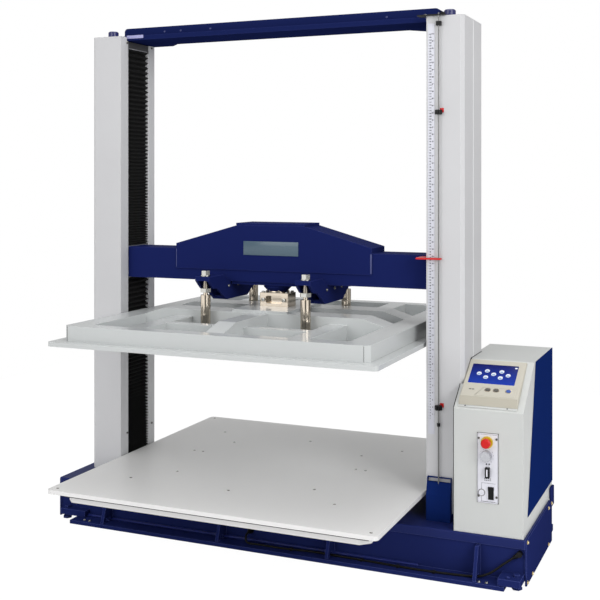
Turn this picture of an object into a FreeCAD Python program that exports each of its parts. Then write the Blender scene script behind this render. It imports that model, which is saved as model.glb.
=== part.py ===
import FreeCAD, Part

import math
import os

Vec = FreeCAD.Vector

# A floor standing box compression tester, in millimetres. The model is built about the load axis
# (x = 0, y = 0, floor at z = 0, front towards -Y) and moved at the end so that its origin is the
# centre of its footprint on the floor.

# General fits
sheet = 2.5
running_gap = 0.05
moving_gap = 0.5
seat_gap = 0.3

# Base
base_height = 151.0
base_front = -227.0
base_rear = 256.0
base_overhang_left = 82.0
base_plate = 6.0
base_lip = 30.0
base_bend = 5.0
beam_web = 12.0
flange_reach = 79.0
flange_inner_reach = 60.0
flange_thickness = 14.0
flange_left_inset = 100.0
flange_right_inset = 61.0
gusset_xs = (-621.0, -118.0, 319.0, 849.0)
gusset_thickness = 12.0
gusset_height = 104.0
gusset_head = 28.0
gusset_reach = 68.0
gusset_notch_y = -256.0
gusset_notch_width = 20.0
gusset_notch_height = 14.0
tie_xs = (-480.0, 0.0, 480.0)
tie_width = 60.0
tie_height = 36.0
end_panel = 6.0

# Foot brackets and levelling feet
bracket_height = 23.0
bracket_gap = 2.0
right_bracket_width = 74.0
right_bracket_inset = 8.0
right_bracket_depth = 76.0
left_bracket_width = 112.0
left_bracket_inset = 28.0
left_bracket_depth = 35.0
foot_inset = 18.0
foot_pad_flats = 31.0
foot_pad_height = 8.0
foot_stud_radius = 6.0
foot_head_height = 9.0
foot_head_flats = 19.0

# Columns; the left one mirrors the right one
column_inner = 638.0
column_width = 136.0
column_front = -128.0
column_rear = 130.0
column_height = 1780.0
cover_lift = 25.0
cover_bevel = 12.0
cover_seam_y = 7.0
cover_lip = 10.0
slot_front = -73.0
slot_rear = 86.0
frame_wall = 12.0
frame_shortfall = 13.0
top_plate = 2.5

# Guide rods, screws and their end plates
rod_radius = 16.0
rod_inset = 71.0
rod_y = 73.0
cap_radius = 21.0
cap_height = 27.0
cap_round = 4.0
bellows_room = 23.0
end_plate_bottom = 25.0
end_plate_top = 28.0
screw_radius = 16.0
journal_radius = 12.0
bearing_half = 30.0
bearing_height = 12.0
deck_window = 34.0
screw_end_play = 0.5

# Belt drive under the deck
pulley_bottom = 58.0
belt_width = 13.0
belt_thickness = 4.0
pulley_radius = 45.0
pulley_flange = 2.0
pulley_rim = 6.0
motor_pulley_radius = 30.0
motor_inset = 106.0
motor_body = 108.0
motor_flange = 124.0
motor_length = 235.0
motor_shaft_radius = 10.0
motor_shaft_depth = 40.0

# Top crossbeam
crossbeam_bearing = 28.0
crossbeam_front = -81.0
crossbeam_rear = 98.0
crossbeam_end_rear = 148.0
crossbeam_end_length = 111.0
crossbeam_plate = 18.0
crossbeam_box_front = -56.0
crossbeam_box_rear = 62.0
crossbeam_box_height = 34.0
crossbeam_box_wall = 6.0
crossbeam_box_round = 14.0
notch_gap = 2.0

# Bellows in the column slots
bellows_tip = 3.0
bellows_depth = 16.0
bellows_sheet = 2.0
bellows_pitch = 33.0
bellows_side_gap = 1.0
bellows_plate_upper = 22.0
bellows_strip = 8.0
bellows_end_plate = 4.0

# Crosshead at rest
crosshead_bottom = 955.0
crosshead_height = 123.0
crosshead_front = -68.0
crosshead_rear = 70.0
crosshead_wall = 10.0
carriage_width = 66.0
carriage_depth = 105.0
carriage_height = 150.0
carriage_drop = 15.0

# Crosshead housing
housing_half = 413.0
housing_sheet = 5.0
housing_skirt = 44.0
housing_shoulder = 143.0
housing_top = 219.0
housing_top_half = 142.0
housing_cover_half = 146.0
housing_cover_height = 9.0
housing_cover_corner = 3.0

# Platen brackets on the crosshead
bracket_x = 206.3
bracket_width = 60.0
bracket_side = 9.0
bracket_reach = 236.0
bracket_plate_top = 29.0
bracket_plate = 16.0
bracket_knee_y = 116.0
bracket_nose_y = 199.0
bracket_nose_drop = 18.0
bracket_flat_drop = 20.0
bracket_flat_y = 166.0
bracket_heel_drop = 69.0
bracket_heel_y = 91.0
bracket_web_thickness = 12.0

# Posts between the upper platen and its brackets
post_y = 208.4
post_radius = 19.0
post_neck = 10.0
stud_radius = 9.0
stud_showing = 29.0
nut_height = 15.0
nut_flats = 38.0
washer_radius = 19.0
washer_height = 5.0
bolt_flats = 30.0
bolt_height = 17.0

# Load cell stack, from the crosshead down
under_plate_half = 170.0
under_plate_depth = 60.0
under_plate = 12.0
adapter_flange_radius = 54.0
adapter_neck_radius = 40.0
adapter_flange = 9.0
adapter_taper = 14.0
adapter_spacer = 8.0
adapter_spacer_radius = 26.0
load_cell_half = 61.0
load_cell_depth = 37.5
load_cell_height = 52.0
load_cell_slot_half = 34.0
load_cell_slot_height = 15.0
mount_plate_half = 115.0
mount_plate_depth = 170.0
mount_plate = 10.0

# Upper platen
platen_side_gap = 11.5
platen_thickness = 16.4
platen_corner = 15.0
platen_frame_inset = 42.0
platen_frame_height = 55.0
platen_frame_chamfer = 18.0
side_bar_width = 89.5
end_bar_width = 60.5
rib_rise = 26.0
rib_slope_x = 412.0
rib_slope_y = 427.0
centre_rib_half = 35.0
outer_rib_inner = 283.0
outer_rib_outer = 353.0
cross_rib_inner = 63.0
cross_rib_outer = 172.0
low_bar_inner = 333.0
low_bar_outer = 374.0

# Table
table_side_gap = 11.0
table_top = 239.0
table_thickness = 15.0
table_frame_inset = 46.0
table_frame_height = 36.0
table_frame_wall = 12.0
table_frame_chamfer = 30.0
table_bays = 4
table_support_x = 320.0
table_support_width = 100.0
table_support_wall = 8.0
table_support_inset = 20.0

# Ruler, limit rod and its stops
ruler_offset = 6.0
ruler_width = 24.0
ruler_bottom = 450.7
ruler_top = 1903.8
ruler_thickness = 1.0
limit_rod_inset = 48.0
limit_rod_y = -140.0
limit_rod_radius = 2.5
limit_rod_overtop = 5.0
rod_plate_overhang = 31.0
rod_plate_width = 102.0
rod_plate_depth = 45.0
rod_plate_thickness = 3.5
guide_z = 1902.0
guide_half = 8.5
guide_height = 15.0
rod_collar_z = 488.0
rod_collar_flats = 10.0
rod_collar_height = 12.0
upper_stop_z = 1589.0
lower_stop_z = 548.0
stop_radius = 13.0
stop_height = 16.0
stop_lobes = 6
stop_valley = 9.5
pointer_z = 1075.0
pointer_thickness = 6.0
pointer_overhang = 33.0
pointer_width = 90.0
pointer_leg = 24.0
pointer_front = -149.0
pointer_bar = 18.0
switch_cover_inset = 6.0
switch_cover_width = 87.0
switch_cover_depth = 25.0
switch_cover_top = 302.0
switch_cover_shoulder = 243.0
switch_cover_crown = 9.0

# Controller
controller_front = -221.0
controller_rear = 325.0
controller_width = 226.0
controller_top = 711.0
controller_slope_z = 571.0
controller_slope_y = -27.0
controller_wall = 2.0
side_panel_front_top = -7.0
side_panel_front_bottom = -152.0
side_panel_bottom = 206.5
side_panel_sheet = 2.0

# Display on the controller slope: distances along the slope from its lower edge
display_gap = 1.5
display_right_inset = 23.0
display_lip = 16.0
display_low = 45.0
display_high = 228.0
display_plate = 3.0
display_plate_low = 8.0
display_low_height = 18.0
display_high_height = 7.0
display_corner = 5.0
screen_left_margin = 14.5
screen_right_margin = 24.0
screen_low = 64.0
screen_high = 163.0
screen_recess = 1.5
screen_glass = 1.2
screen_corner = 3.0
bezel_button_insets = {"left": 110.0, "middle": 81.0, "right": 38.0}
bezel_button_s = 33.0
bezel_button_length = 16.0
bezel_button_width = 12.0
bezel_button_height = 5.0
bezel_button_proud = 2.6
bezel_button_gap = 0.4
bezel_button_travel = 2.0

# Switch panel on the controller front, with distances across it from its left edge
panel_right_inset = 84.0
panel_width = 71.0
panel_bottom = 261.0
panel_top = 495.0
panel_thickness = 4.0
panel_corner = 4.0
estop_across = 34.0
estop_z = 466.0
estop_collar_radius = 20.0
estop_collar_length = 9.0
estop_head_radius = 16.0
estop_head_length = 17.0
estop_head_bevel = 4.0
estop_stem_radius = 8.0
estop_travel = 6.0
knob_across = 32.0
knob_z = 420.0
knob_radius = 19.0
knob_length = 21.0
knob_flutes = 24
knob_flute_depth = 1.2
knob_face = 3.0
connector_across = 29.0
connector_width = 14.0
connector_bottom = 348.0
connector_top = 382.0
connector_length = 15.0
rocker_across = 35.0
rocker_width = 24.0
rocker_bottom = 271.0
rocker_top = 319.0
rocker_frame = 2.0
rocker_proud = 3.0
rocker_tilt = 8.0
rocker_depth = 6.0
fuse_across = 15.0
fuse_z = 295.0
fuse_radius = 10.0
fuse_length = 9.0

# Signal cable on the front flange
cable_radius = 4.0
gland_root_radius = 11.0
gland_tip_radius = 6.5
plug_radius = 8.0
plug_length = 26.0
plug_socket_radius = 9.5
clip_xs = (175.0, 443.0, 578.0, 707.0)
clip_width = 9.0
clip_wall = 1.6
cable_sides = 8
cable_points = (
    (-7.0, -243.0, 50.0),
    (-7.0, -258.0, 49.0),
    (-6.0, -271.0, 41.0),
    (-2.0, -276.0, 28.0),
    (8.0, -273.5, 19.5),
    (30.0, -267.0, 18.5),
    (75.0, -265.5, 18.3),
    (140.0, -269.5, 18.4),
    (255.0, -253.0, 18.3),
    (370.0, -260.5, 18.4),
    (485.0, -263.0, 18.3),
    (600.0, -270.5, 18.4),
    (715.0, -270.5, 18.3),
    (800.0, -262.0, 18.4),
    (858.0, -256.5, 19.5),
    (893.0, -248.5, 33.0),
    (922.0, -240.0, 55.0),
    (946.0, -234.5, 74.5),
    (968.0, -233.0, 90.5),
)


# Sizes that follow from the ones above

deck_top = base_height
column_outer = column_inner + column_width
rod_x = column_inner + rod_inset
end_plate_x = column_inner + bellows_room
crossbeam_reach = column_inner + crossbeam_bearing
crossbeam_end_x = crossbeam_reach - crossbeam_end_length
limit_rod_x = column_inner + limit_rod_inset
motor_x = column_outer + motor_inset
controller_right = column_outer + controller_width
platen_half = column_inner - platen_side_gap
platen_frame_half = platen_half - platen_frame_inset
table_half = column_inner - table_side_gap
base_left = -column_outer - base_overhang_left - end_panel
base_right = controller_right + end_panel * 2
column_top = deck_top + column_height
frame_top = column_top - frame_shortfall
cover_bottom = deck_top + cover_lift
web_front = base_front + base_plate
web_rear = base_rear - base_plate
flange_left = base_left + flange_left_inset
flange_right = base_right - flange_right_inset
flange_front = web_front - flange_reach
crossbeam_top = frame_top + crossbeam_plate
crosshead_top = crosshead_bottom + crosshead_height
carriage_inner = rod_x - carriage_width / 2
mirror_normal = Vec(1, 0, 0)
slope_rise = controller_top - controller_slope_z
slope_angle = math.degrees(math.atan2(slope_rise, controller_slope_y - controller_front))
display_wedge = math.atan2(display_low_height - display_high_height, display_high - display_low)
display_left = column_outer + display_gap
display_right = controller_right - display_right_inset
screen_left = display_left + screen_left_margin
screen_right = display_right - screen_right_margin
bezel_button_xs = {side: display_right - inset for side, inset in bezel_button_insets.items()}
panel_right = controller_right - panel_right_inset
panel_left = panel_right - panel_width
panel_front = controller_front - panel_thickness
estop_x = panel_left + estop_across
knob_x = panel_left + knob_across
fuse_x = panel_left + fuse_across
connector_left = panel_left + connector_across
connector_right = connector_left + connector_width
rocker_left = panel_left + rocker_across
rocker_right = rocker_left + rocker_width
belt_low = pulley_bottom + pulley_flange + moving_gap
belt_high = belt_low + belt_width + pulley_flange + 2 * moving_gap
pulley_top = belt_high + belt_width + moving_gap + pulley_flange
adapter_bottom = crosshead_bottom - under_plate - adapter_flange - adapter_taper - adapter_spacer
load_cell_bottom = adapter_bottom - load_cell_height
rib_top = load_cell_bottom - mount_plate
platen_frame_top = rib_top - rib_rise
platen_top = platen_frame_top - platen_frame_height
platen_bottom = platen_top - platen_thickness


# Building blocks

def block(xs, ys, zs):
    return Part.makeBox(xs[1] - xs[0], ys[1] - ys[0], zs[1] - zs[0], Vec(xs[0], ys[0], zs[0]))


def swept(points, along):
    return Part.Face(Part.makePolygon(points + [points[0]])).extrude(along)


def prism_x(outline, xs):
    return swept([Vec(xs[0], y, z) for y, z in outline], Vec(xs[1] - xs[0], 0, 0))


def prism_y(outline, ys):
    return swept([Vec(x, ys[0], z) for x, z in outline], Vec(0, ys[1] - ys[0], 0))


def prism_z(outline, zs):
    return swept([Vec(x, y, zs[0]) for x, y in outline], Vec(0, 0, zs[1] - zs[0]))


def upright(x, y, radius, zs):
    return Part.makeCylinder(radius, zs[1] - zs[0], Vec(x, y, zs[0]))


def forward(x, z, radius, ys):
    """A round bar along Y, from ys[0] to ys[1]."""
    return Part.makeCylinder(radius, ys[1] - ys[0], Vec(x, ys[0], z), Vec(0, 1, 0))


def tube(x, y, outer, inner, zs):
    return upright(x, y, outer, zs).cut(upright(x, y, inner, zs))


def turned(profile, base, axis=Vec(0, 0, 1)):
    """A turned piece: profile points are (radius, distance along the axis)."""
    wire = Part.makePolygon([Vec(r, 0, h) for r, h in profile + [profile[0]]])
    piece = Part.Face(wire).revolve(Vec(0, 0, 0), Vec(0, 0, 1), 360)
    piece.Placement = FreeCAD.Placement(base, FreeCAD.Rotation(Vec(0, 0, 1), axis))
    return piece


def on_circle(radius, degrees, x=0, y=0):
    return x + radius * math.cos(math.radians(degrees)), y + radius * math.sin(math.radians(degrees))


def hexagon(x, y, flats, zs):
    return prism_z([on_circle(flats / math.sqrt(3), 60 * k, x, y) for k in range(6)], zs)


def rounded(shape, radius, picks):
    """Fillet the straight edges whose centre passes the test picks(centre, direction)."""
    chosen = []
    for edge in shape.Edges:
        if edge.Curve.TypeId != "Part::GeomLine":
            continue
        ends = [vertex.Point for vertex in edge.Vertexes]
        direction = (ends[1] - ends[0]).normalize()
        if picks((ends[0] + ends[1]) * 0.5, direction):
            chosen.append(edge)
    return shape.makeFillet(radius, chosen)


def is_upright(centre, direction):
    return abs(direction.z) > 0.99


def rounded_plate(xs, ys, zs, radius):
    return rounded(block(xs, ys, zs), radius, is_upright)


def joined(pieces):
    return pieces[0].fuse(pieces[1:]).removeSplitter() if len(pieces) > 1 else pieces[0]


def grouped(pieces):
    return Part.makeCompound([solid for piece in pieces for solid in piece.Solids])


def mirrored(shape):
    return shape.mirror(Vec(0, 0, 0), mirror_normal)


def both_sides(shape):
    return grouped([shape, mirrored(shape)])


def four_corners(make, x, y):
    return grouped([make(sx * x, sy * y) for sx in (-1, 1) for sy in (-1, 1)])


# Base

def gusset(x, notched):
    """Upright plate between the web and the flange, cut away at its foot where the cable passes."""
    foot = flange_thickness
    outline = [(web_front, foot), (web_front - gusset_reach, foot),
               (web_front - gusset_head, foot + gusset_height), (web_front, foot + gusset_height)]
    xs = (x - gusset_thickness / 2, x + gusset_thickness / 2)
    plate = prism_x(outline, xs)
    if not notched:
        return plate
    half = gusset_notch_width / 2
    return plate.cut(block((xs[0] - 1, xs[1] + 1), (gusset_notch_y - half, gusset_notch_y + half),
                           (foot - 1, foot + gusset_notch_height)))


def edge_beam(notched):
    """Web, bottom flange and gussets of the beam under the deck's front edge."""
    web_back = web_front + beam_web
    under_deck = base_height - base_plate
    web = block((base_left + end_panel, base_right - end_panel), (web_front, web_back),
                (flange_thickness, under_deck))
    flange = block((flange_left, flange_right), (flange_front, web_back + flange_inner_reach),
                   (0, flange_thickness))
    return grouped([web, flange] + [gusset(x, notched) for x in gusset_xs])


def base_beams():
    """Front and rear beams and the ties between them, plates that are welded into one ladder."""
    rear = edge_beam(False).mirror(Vec(0, (web_front + web_rear) / 2, 0), Vec(0, 1, 0))
    pieces = [edge_beam(True), rear]
    for x in tie_xs:
        pieces.append(block((x - tie_width / 2, x + tie_width / 2), (web_front + beam_web, web_rear - beam_web),
                            (flange_thickness, flange_thickness + tie_height)))
    return grouped(pieces)


def base_deck():
    """Folded deck sheet, with a window under each screw and under the motor."""
    xs = (base_left + end_panel, base_right - end_panel)
    outer = block(xs, (base_front, base_rear), (base_height - base_lip, base_height))
    outer = rounded(outer, base_bend, lambda c, d: abs(d.x) > 0.99 and c.z > base_height - 1)
    inner = block((xs[0] - 1, xs[1] + 1), (web_front, web_rear),
                  (base_height - base_lip - 1, base_height - base_plate))
    deck = outer.cut(inner)
    half = deck_window / 2
    for x in (-rod_x, rod_x, motor_x):
        deck = deck.cut(block((x - half, x + half), (-half, half), (base_height - base_lip, base_height + 1)))
    return deck


def base_end_panels():
    panels = []
    for left in (base_left, base_right - end_panel):
        plate = block((left, left + end_panel), (base_front, base_rear), (0, base_height))
        panels.append(rounded(plate, base_bend, lambda c, d: abs(d.x) > 0.99 and c.z > base_height - 1))
    return grouped(panels)


def foot_places():
    """Extents of each foot bracket, with the side of the base that it is on."""
    right = (base_right - right_bracket_inset - right_bracket_width, base_right - right_bracket_inset)
    left = (base_left + left_bracket_inset, base_left + left_bracket_inset + left_bracket_width)
    places = []
    for xs, depth in ((right, right_bracket_depth), (left, left_bracket_depth)):
        places.append((xs, (web_front - depth, web_front)))
        places.append((xs, (web_rear, web_rear + depth)))
    return places


def foot_centre(xs, ys):
    outer_x = xs[1] - foot_inset if xs[0] > 0 else xs[0] + foot_inset
    return outer_x, (ys[0] + ys[1]) / 2


def foot_brackets():
    brackets = []
    low = flange_thickness + bracket_gap
    for xs, ys in foot_places():
        bracket = block(xs, ys, (low, low + bracket_height))
        x, y = foot_centre(xs, ys)
        hole = upright(x, y, foot_stud_radius + running_gap, (low - 1, low + bracket_height + 1))
        brackets.append(bracket.cut(hole))
    return grouped(brackets)


def levelling_feet():
    feet = []
    head_bottom = flange_thickness + bracket_gap + bracket_height
    for xs, ys in foot_places():
        x, y = foot_centre(xs, ys)
        pad = hexagon(x, y, foot_pad_flats, (0, foot_pad_height))
        stud = upright(x, y, foot_stud_radius, (foot_pad_height, head_bottom))
        head = hexagon(x, y, foot_head_flats, (head_bottom, head_bottom + foot_head_height))
        feet.append(joined([pad, stud, head]))
    return grouped(feet)


# Columns

def column_outline(inset):
    """Plan of the right column, moved in by inset, with its front outer edge bevelled."""
    bevel = cover_bevel - inset * (2 - math.sqrt(2))
    left, right = column_inner + inset, column_outer - inset
    front, rear = column_front + inset, column_rear - inset
    return [(left, front), (right - bevel, front), (right, front + bevel), (right, rear), (left, rear)]


def column_prism(inset, zs):
    return prism_z(column_outline(inset), zs)


def crossbeam_notch():
    return block((column_inner - 1, crossbeam_reach + notch_gap),
                 (crossbeam_front - notch_gap, column_rear + 1), (frame_top - notch_gap, column_top + 1))


def cover_shell():
    zs = (cover_bottom, column_top - top_plate)
    shell = column_prism(0, zs).cut(column_prism(sheet, (zs[0] - 1, zs[1] + 1)))
    slot = block((column_inner - 1, column_inner + sheet + 1), (slot_front, slot_rear), (zs[0] - 1, zs[1] + 1))
    return shell.cut(slot).cut(crossbeam_notch())


def front_cover():
    shell = cover_shell()
    keep = block((column_inner - 1, column_outer + 1), (column_front - 1, cover_seam_y), (0, column_top))
    lip = block((column_inner + sheet, column_inner + sheet + cover_lip), (slot_front - sheet, slot_front),
                (cover_bottom, frame_top - notch_gap))
    return joined([shell.common(keep), lip])


def rear_cover():
    shell = cover_shell()
    keep = block((column_inner - 1, column_outer + 1), (cover_seam_y, column_rear + 1), (0, column_top))
    lip = block((column_inner + sheet, column_inner + sheet + cover_lip), (slot_rear, slot_rear + sheet),
                (cover_bottom, frame_top - notch_gap))
    return joined([shell.common(keep), lip])


def column_top_plates():
    return both_sides(column_prism(0, (column_top - top_plate, column_top)).cut(crossbeam_notch()))


def column_frames():
    zs = (deck_top, frame_top)
    outer = column_prism(sheet, zs)
    inner = column_prism(sheet + frame_wall, (zs[0] - 1, zs[1] + 1))
    mouth = block((column_inner, column_inner + sheet + frame_wall + 1),
                  (column_front + sheet + frame_wall, column_rear - sheet - frame_wall), (zs[0] - 1, zs[1] + 1))
    return both_sides(outer.cut(inner).cut(mouth))


def end_plate(plate_zs, housing_zs):
    """A plate that holds the rods' ends, and the square bearing housing on it, bored for the screw."""
    plate = column_prism(sheet + frame_wall, plate_zs)
    plate = plate.common(block((end_plate_x, column_outer), (column_front, column_rear), plate_zs))
    half = bearing_half
    housing = block((rod_x - half, rod_x + half), (-half, half), housing_zs)
    bore = upright(rod_x, 0, journal_radius + running_gap, (deck_top - 1, frame_top + 1))
    return joined([plate, housing]).cut(bore)


rod_bottom = deck_top + end_plate_bottom
rod_top = frame_top - end_plate_top


def screw_end_plates():
    lower = end_plate((deck_top, rod_bottom), (rod_bottom, rod_bottom + bearing_height))
    upper = end_plate((rod_top, frame_top), (rod_top - bearing_height, rod_top))
    return both_sides(grouped([lower, upper]))


def guide_rods():
    return four_corners(lambda x, y: upright(x, y, rod_radius, (rod_bottom, rod_top)), rod_x, rod_y)


def guide_rod_caps():
    """Caps over the screws that clamp each rod's top end."""
    profile = [(0, 0), (cap_radius, 0), (cap_radius, cap_height - cap_round),
               (cap_radius - cap_round, cap_height), (0, cap_height)]
    return four_corners(lambda x, y: turned(profile, Vec(x, y, column_top)), rod_x, rod_y)


def top_crossbeam():
    """Bottom plate with wider ends, and the box section on it."""
    step = crossbeam_end_rear - crossbeam_rear
    half = [(crossbeam_reach, crossbeam_front), (crossbeam_reach, crossbeam_end_rear),
            (crossbeam_end_x, crossbeam_end_rear), (crossbeam_end_x - step, crossbeam_rear)]
    outline = half + [(-x, y) for x, y in reversed(half)]
    plate = prism_z(outline, (frame_top, crossbeam_top))
    top = crossbeam_top + crossbeam_box_height
    wall = crossbeam_box_wall
    box = block((-crossbeam_reach, crossbeam_reach), (crossbeam_box_front, crossbeam_box_rear),
                (crossbeam_top, top))
    box = rounded(box, crossbeam_box_round, lambda c, d: abs(d.y) > 0.99 and c.z > top - 1)
    hollow = block((-crossbeam_reach - 1, crossbeam_reach + 1),
                   (crossbeam_box_front + wall, crossbeam_box_rear - wall), (crossbeam_top, top - wall))
    return joined([plate, box.cut(hollow)])


# Screws and belt drive

def ball_screw(side):
    """Screw with its lower and upper journals, and the belt pulley on the lower one."""
    low = rod_bottom + bearing_height + screw_end_play
    high = rod_top - bearing_height - screw_end_play
    x = side * rod_x
    screw = joined([upright(x, 0, journal_radius, (pulley_bottom, low)),
                    upright(x, 0, screw_radius, (low, high)),
                    upright(x, 0, journal_radius, (high, frame_top - seat_gap))])
    return grouped([screw, tube(x, 0, pulley_radius, journal_radius, (pulley_bottom, pulley_top))])


def motor_pulley():
    """Pulley on the motor's shaft, with the flange that keeps the belts in place."""
    rim = motor_pulley_radius + pulley_rim
    low = belt_high - moving_gap - pulley_flange
    shaft_top = deck_top + motor_shaft_depth
    drum, shaft = motor_pulley_radius, motor_shaft_radius
    profile = [(0, low), (rim, low), (rim, low + pulley_flange), (drum, low + pulley_flange),
               (drum, pulley_top), (shaft, pulley_top), (shaft, shaft_top), (0, shaft_top)]
    return turned(profile, Vec(motor_x, 0, 0))


def belt(x0, r0, x1, r1, low):
    """An open belt round two pulleys, running clear of them."""
    def loop(grow):
        a, b = r0 + grow, r1 + grow
        turn = math.acos((a - b) / (x1 - x0))
        def on(x, r, angle):
            return Vec(x + r * math.cos(angle), r * math.sin(angle), low)
        edges = [Part.Arc(on(x0, a, turn), on(x0, a, math.pi), on(x0, a, -turn)).toShape(),
                 Part.LineSegment(on(x0, a, -turn), on(x1, b, -turn)).toShape(),
                 Part.Arc(on(x1, b, -turn), on(x1, b, 0), on(x1, b, turn)).toShape(),
                 Part.LineSegment(on(x1, b, turn), on(x0, a, turn)).toShape()]
        return Part.Face(Part.Wire(edges)).extrude(Vec(0, 0, belt_width))
    return loop(moving_gap + belt_thickness).cut(loop(moving_gap))


def drive_belts():
    return grouped([belt(-rod_x, pulley_radius, rod_x, pulley_radius, belt_low),
                    belt(rod_x, pulley_radius, motor_x, motor_pulley_radius, belt_high)])


def drive_motor():
    """Square servo motor that stands on the deck inside the controller."""
    def square(side, zs):
        half = side / 2
        return rounded_plate((motor_x - half, motor_x + half), (-half, half), zs, cover_bevel)
    flange_top = deck_top + end_plate_bottom / 2
    bore = upright(motor_x, 0, motor_shaft_radius + running_gap,
                   (deck_top - 1, deck_top + motor_shaft_depth + moving_gap))
    return joined([square(motor_flange, (deck_top, flange_top)),
                   square(motor_body, (flange_top, deck_top + motor_length))]).cut(bore)


# Bellows

def bellows(zs):
    """A pleated strip, folded to the given height between its end plates."""
    pleats = max(4, round((zs[1] - zs[0]) / bellows_pitch))
    step = (zs[1] - zs[0]) / (2 * pleats)
    tip = column_inner + bellows_tip
    front = [(tip + bellows_depth * (k % 2), zs[0] + k * step) for k in range(2 * pleats + 1)]
    back = [(x + bellows_sheet, z) for x, z in reversed(front)]
    strip = prism_y(front + back, (slot_front + bellows_side_gap, slot_rear - bellows_side_gap * 2))
    return both_sides(strip)


def bellows_block(zs):
    xs = (column_inner + bellows_tip, end_plate_x)
    return block(xs, (slot_front + bellows_side_gap, slot_rear - bellows_side_gap * 2), zs)


upper_fixed = frame_top - 3 - bellows_plate_upper - bellows_strip
lower_fixed = rod_bottom + bellows_end_plate
upper_moving = crosshead_top + bellows_end_plate
lower_moving = crosshead_bottom - bellows_end_plate


def bellows_end_brackets():
    pieces = [bellows_block((upper_fixed + bellows_strip, upper_fixed + bellows_strip + bellows_plate_upper)),
              bellows_block((upper_fixed, upper_fixed + bellows_strip)),
              bellows_block((deck_top, lower_fixed))]
    return both_sides(grouped(pieces))


def crosshead_bellows_plates():
    return both_sides(grouped([bellows_block((crosshead_top, upper_moving)),
                               bellows_block((lower_moving, crosshead_bottom))]))


# Crosshead

def crosshead_beam():
    ys = (crosshead_front, crosshead_rear)
    beam = block((-carriage_inner, carriage_inner), ys, (crosshead_bottom, crosshead_top))
    wall = crosshead_wall
    hollow = block((-carriage_inner - 1, carriage_inner + 1), (ys[0] + wall, ys[1] - wall),
                   (crosshead_bottom + wall, crosshead_top - wall))
    return beam.cut(hollow)


def crosshead_carriages():
    zs = (crosshead_bottom - carriage_drop, crosshead_bottom - carriage_drop + carriage_height)
    carriage = block((carriage_inner, carriage_inner + carriage_width), (-carriage_depth, carriage_depth), zs)
    for y, radius in ((-rod_y, rod_radius), (rod_y, rod_radius), (0, screw_radius)):
        carriage = carriage.cut(upright(rod_x, y, radius + running_gap, (zs[0] - 1, zs[1] + 1)))
    return both_sides(carriage)


def housing_outline(inset, skirt):
    low = crosshead_bottom + skirt
    side = crosshead_bottom + housing_shoulder - inset * 0.7
    top = crosshead_bottom + housing_top - inset
    half = housing_half - inset
    return [(-half, low), (half, low), (half, side), (housing_top_half, top), (-housing_top_half, top),
            (-half, side)]


def crosshead_housing():
    """Sheet hood astride the beam, with sloped shoulders, and its flat top cover."""
    outer_ys = (crosshead_front - housing_sheet, crosshead_rear + housing_sheet)
    hood = prism_y(housing_outline(0, housing_skirt), outer_ys)
    inner_ys = (crosshead_front, crosshead_rear)
    hood = hood.cut(prism_y(housing_outline(housing_sheet, housing_skirt - 1), inner_ys))
    hood = hood.cut(block((-housing_half - 1, housing_half + 1), inner_ys, (crosshead_bottom, crosshead_top)))
    top = crosshead_bottom + housing_top
    cover = rounded_plate((-housing_cover_half, housing_cover_half), outer_ys,
                          (top, top + housing_cover_height), housing_cover_corner)
    return grouped([hood, cover])


def bracket_outline():
    """Side view (y, z) of a platen bracket's cheek, under the beam from front to rear."""
    top = crosshead_bottom + bracket_plate_top
    nose = crosshead_bottom - bracket_nose_drop
    flat = crosshead_bottom - bracket_flat_drop
    heel = crosshead_bottom - bracket_heel_drop
    front = [(-bracket_reach, top), (-bracket_reach, top - bracket_plate), (-bracket_nose_y, nose),
             (-bracket_flat_y, flat), (-bracket_heel_y, heel)]
    rear = [(-y, z) for y, z in reversed(front)]
    return front + rear + [(bracket_knee_y, top), (crosshead_rear, crosshead_bottom),
                           (crosshead_front, crosshead_bottom), (-bracket_knee_y, top)]


def platen_bracket(side):
    """Two cheeks, a front and a rear arm plate and a web across the heel."""
    x0 = side * bracket_x - bracket_width / 2
    x1 = x0 + bracket_width
    top = crosshead_bottom + bracket_plate_top
    outline = bracket_outline()
    cheeks = [prism_x(outline, (x0, x0 + bracket_side)), prism_x(outline, (x1 - bracket_side, x1))]
    arms = []
    for sign in (-1, 1):
        ys = sorted((sign * bracket_reach, sign * bracket_knee_y))
        arm = block((x0 + bracket_side, x1 - bracket_side), ys, (top - bracket_plate, top))
        hole = upright(side * bracket_x, sign * post_y, stud_radius + running_gap,
                       (top - bracket_plate - 1, top + 1))
        arms.append(arm.cut(hole))
    heel = crosshead_bottom - bracket_heel_drop
    web = block((x0 + bracket_side, x1 - bracket_side), (-bracket_heel_y, bracket_heel_y),
                (heel, heel + bracket_web_thickness))
    seat = block((x0 + bracket_side, x1 - bracket_side), (crosshead_front, crosshead_rear),
                 (crosshead_bottom - bracket_web_thickness, crosshead_bottom))
    return joined(cheeks + arms + [web, seat])


def platen_brackets():
    return grouped([platen_bracket(-1), platen_bracket(1)])


arm_bottom = crosshead_bottom + bracket_plate_top - bracket_plate
nut_bottom = arm_bottom - stud_showing - nut_height
post_top = nut_bottom - post_neck


def platen_posts():
    """Round posts, each with the stud that carries on up through the bracket arm."""
    stud_top = crosshead_bottom + bracket_plate_top
    profile = [(0, platen_top), (post_radius, platen_top), (post_radius, post_top), (stud_radius, post_top),
               (stud_radius, stud_top), (0, stud_top)]
    return four_corners(lambda x, y: turned(profile, Vec(x, y, 0)), bracket_x, post_y)


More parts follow.
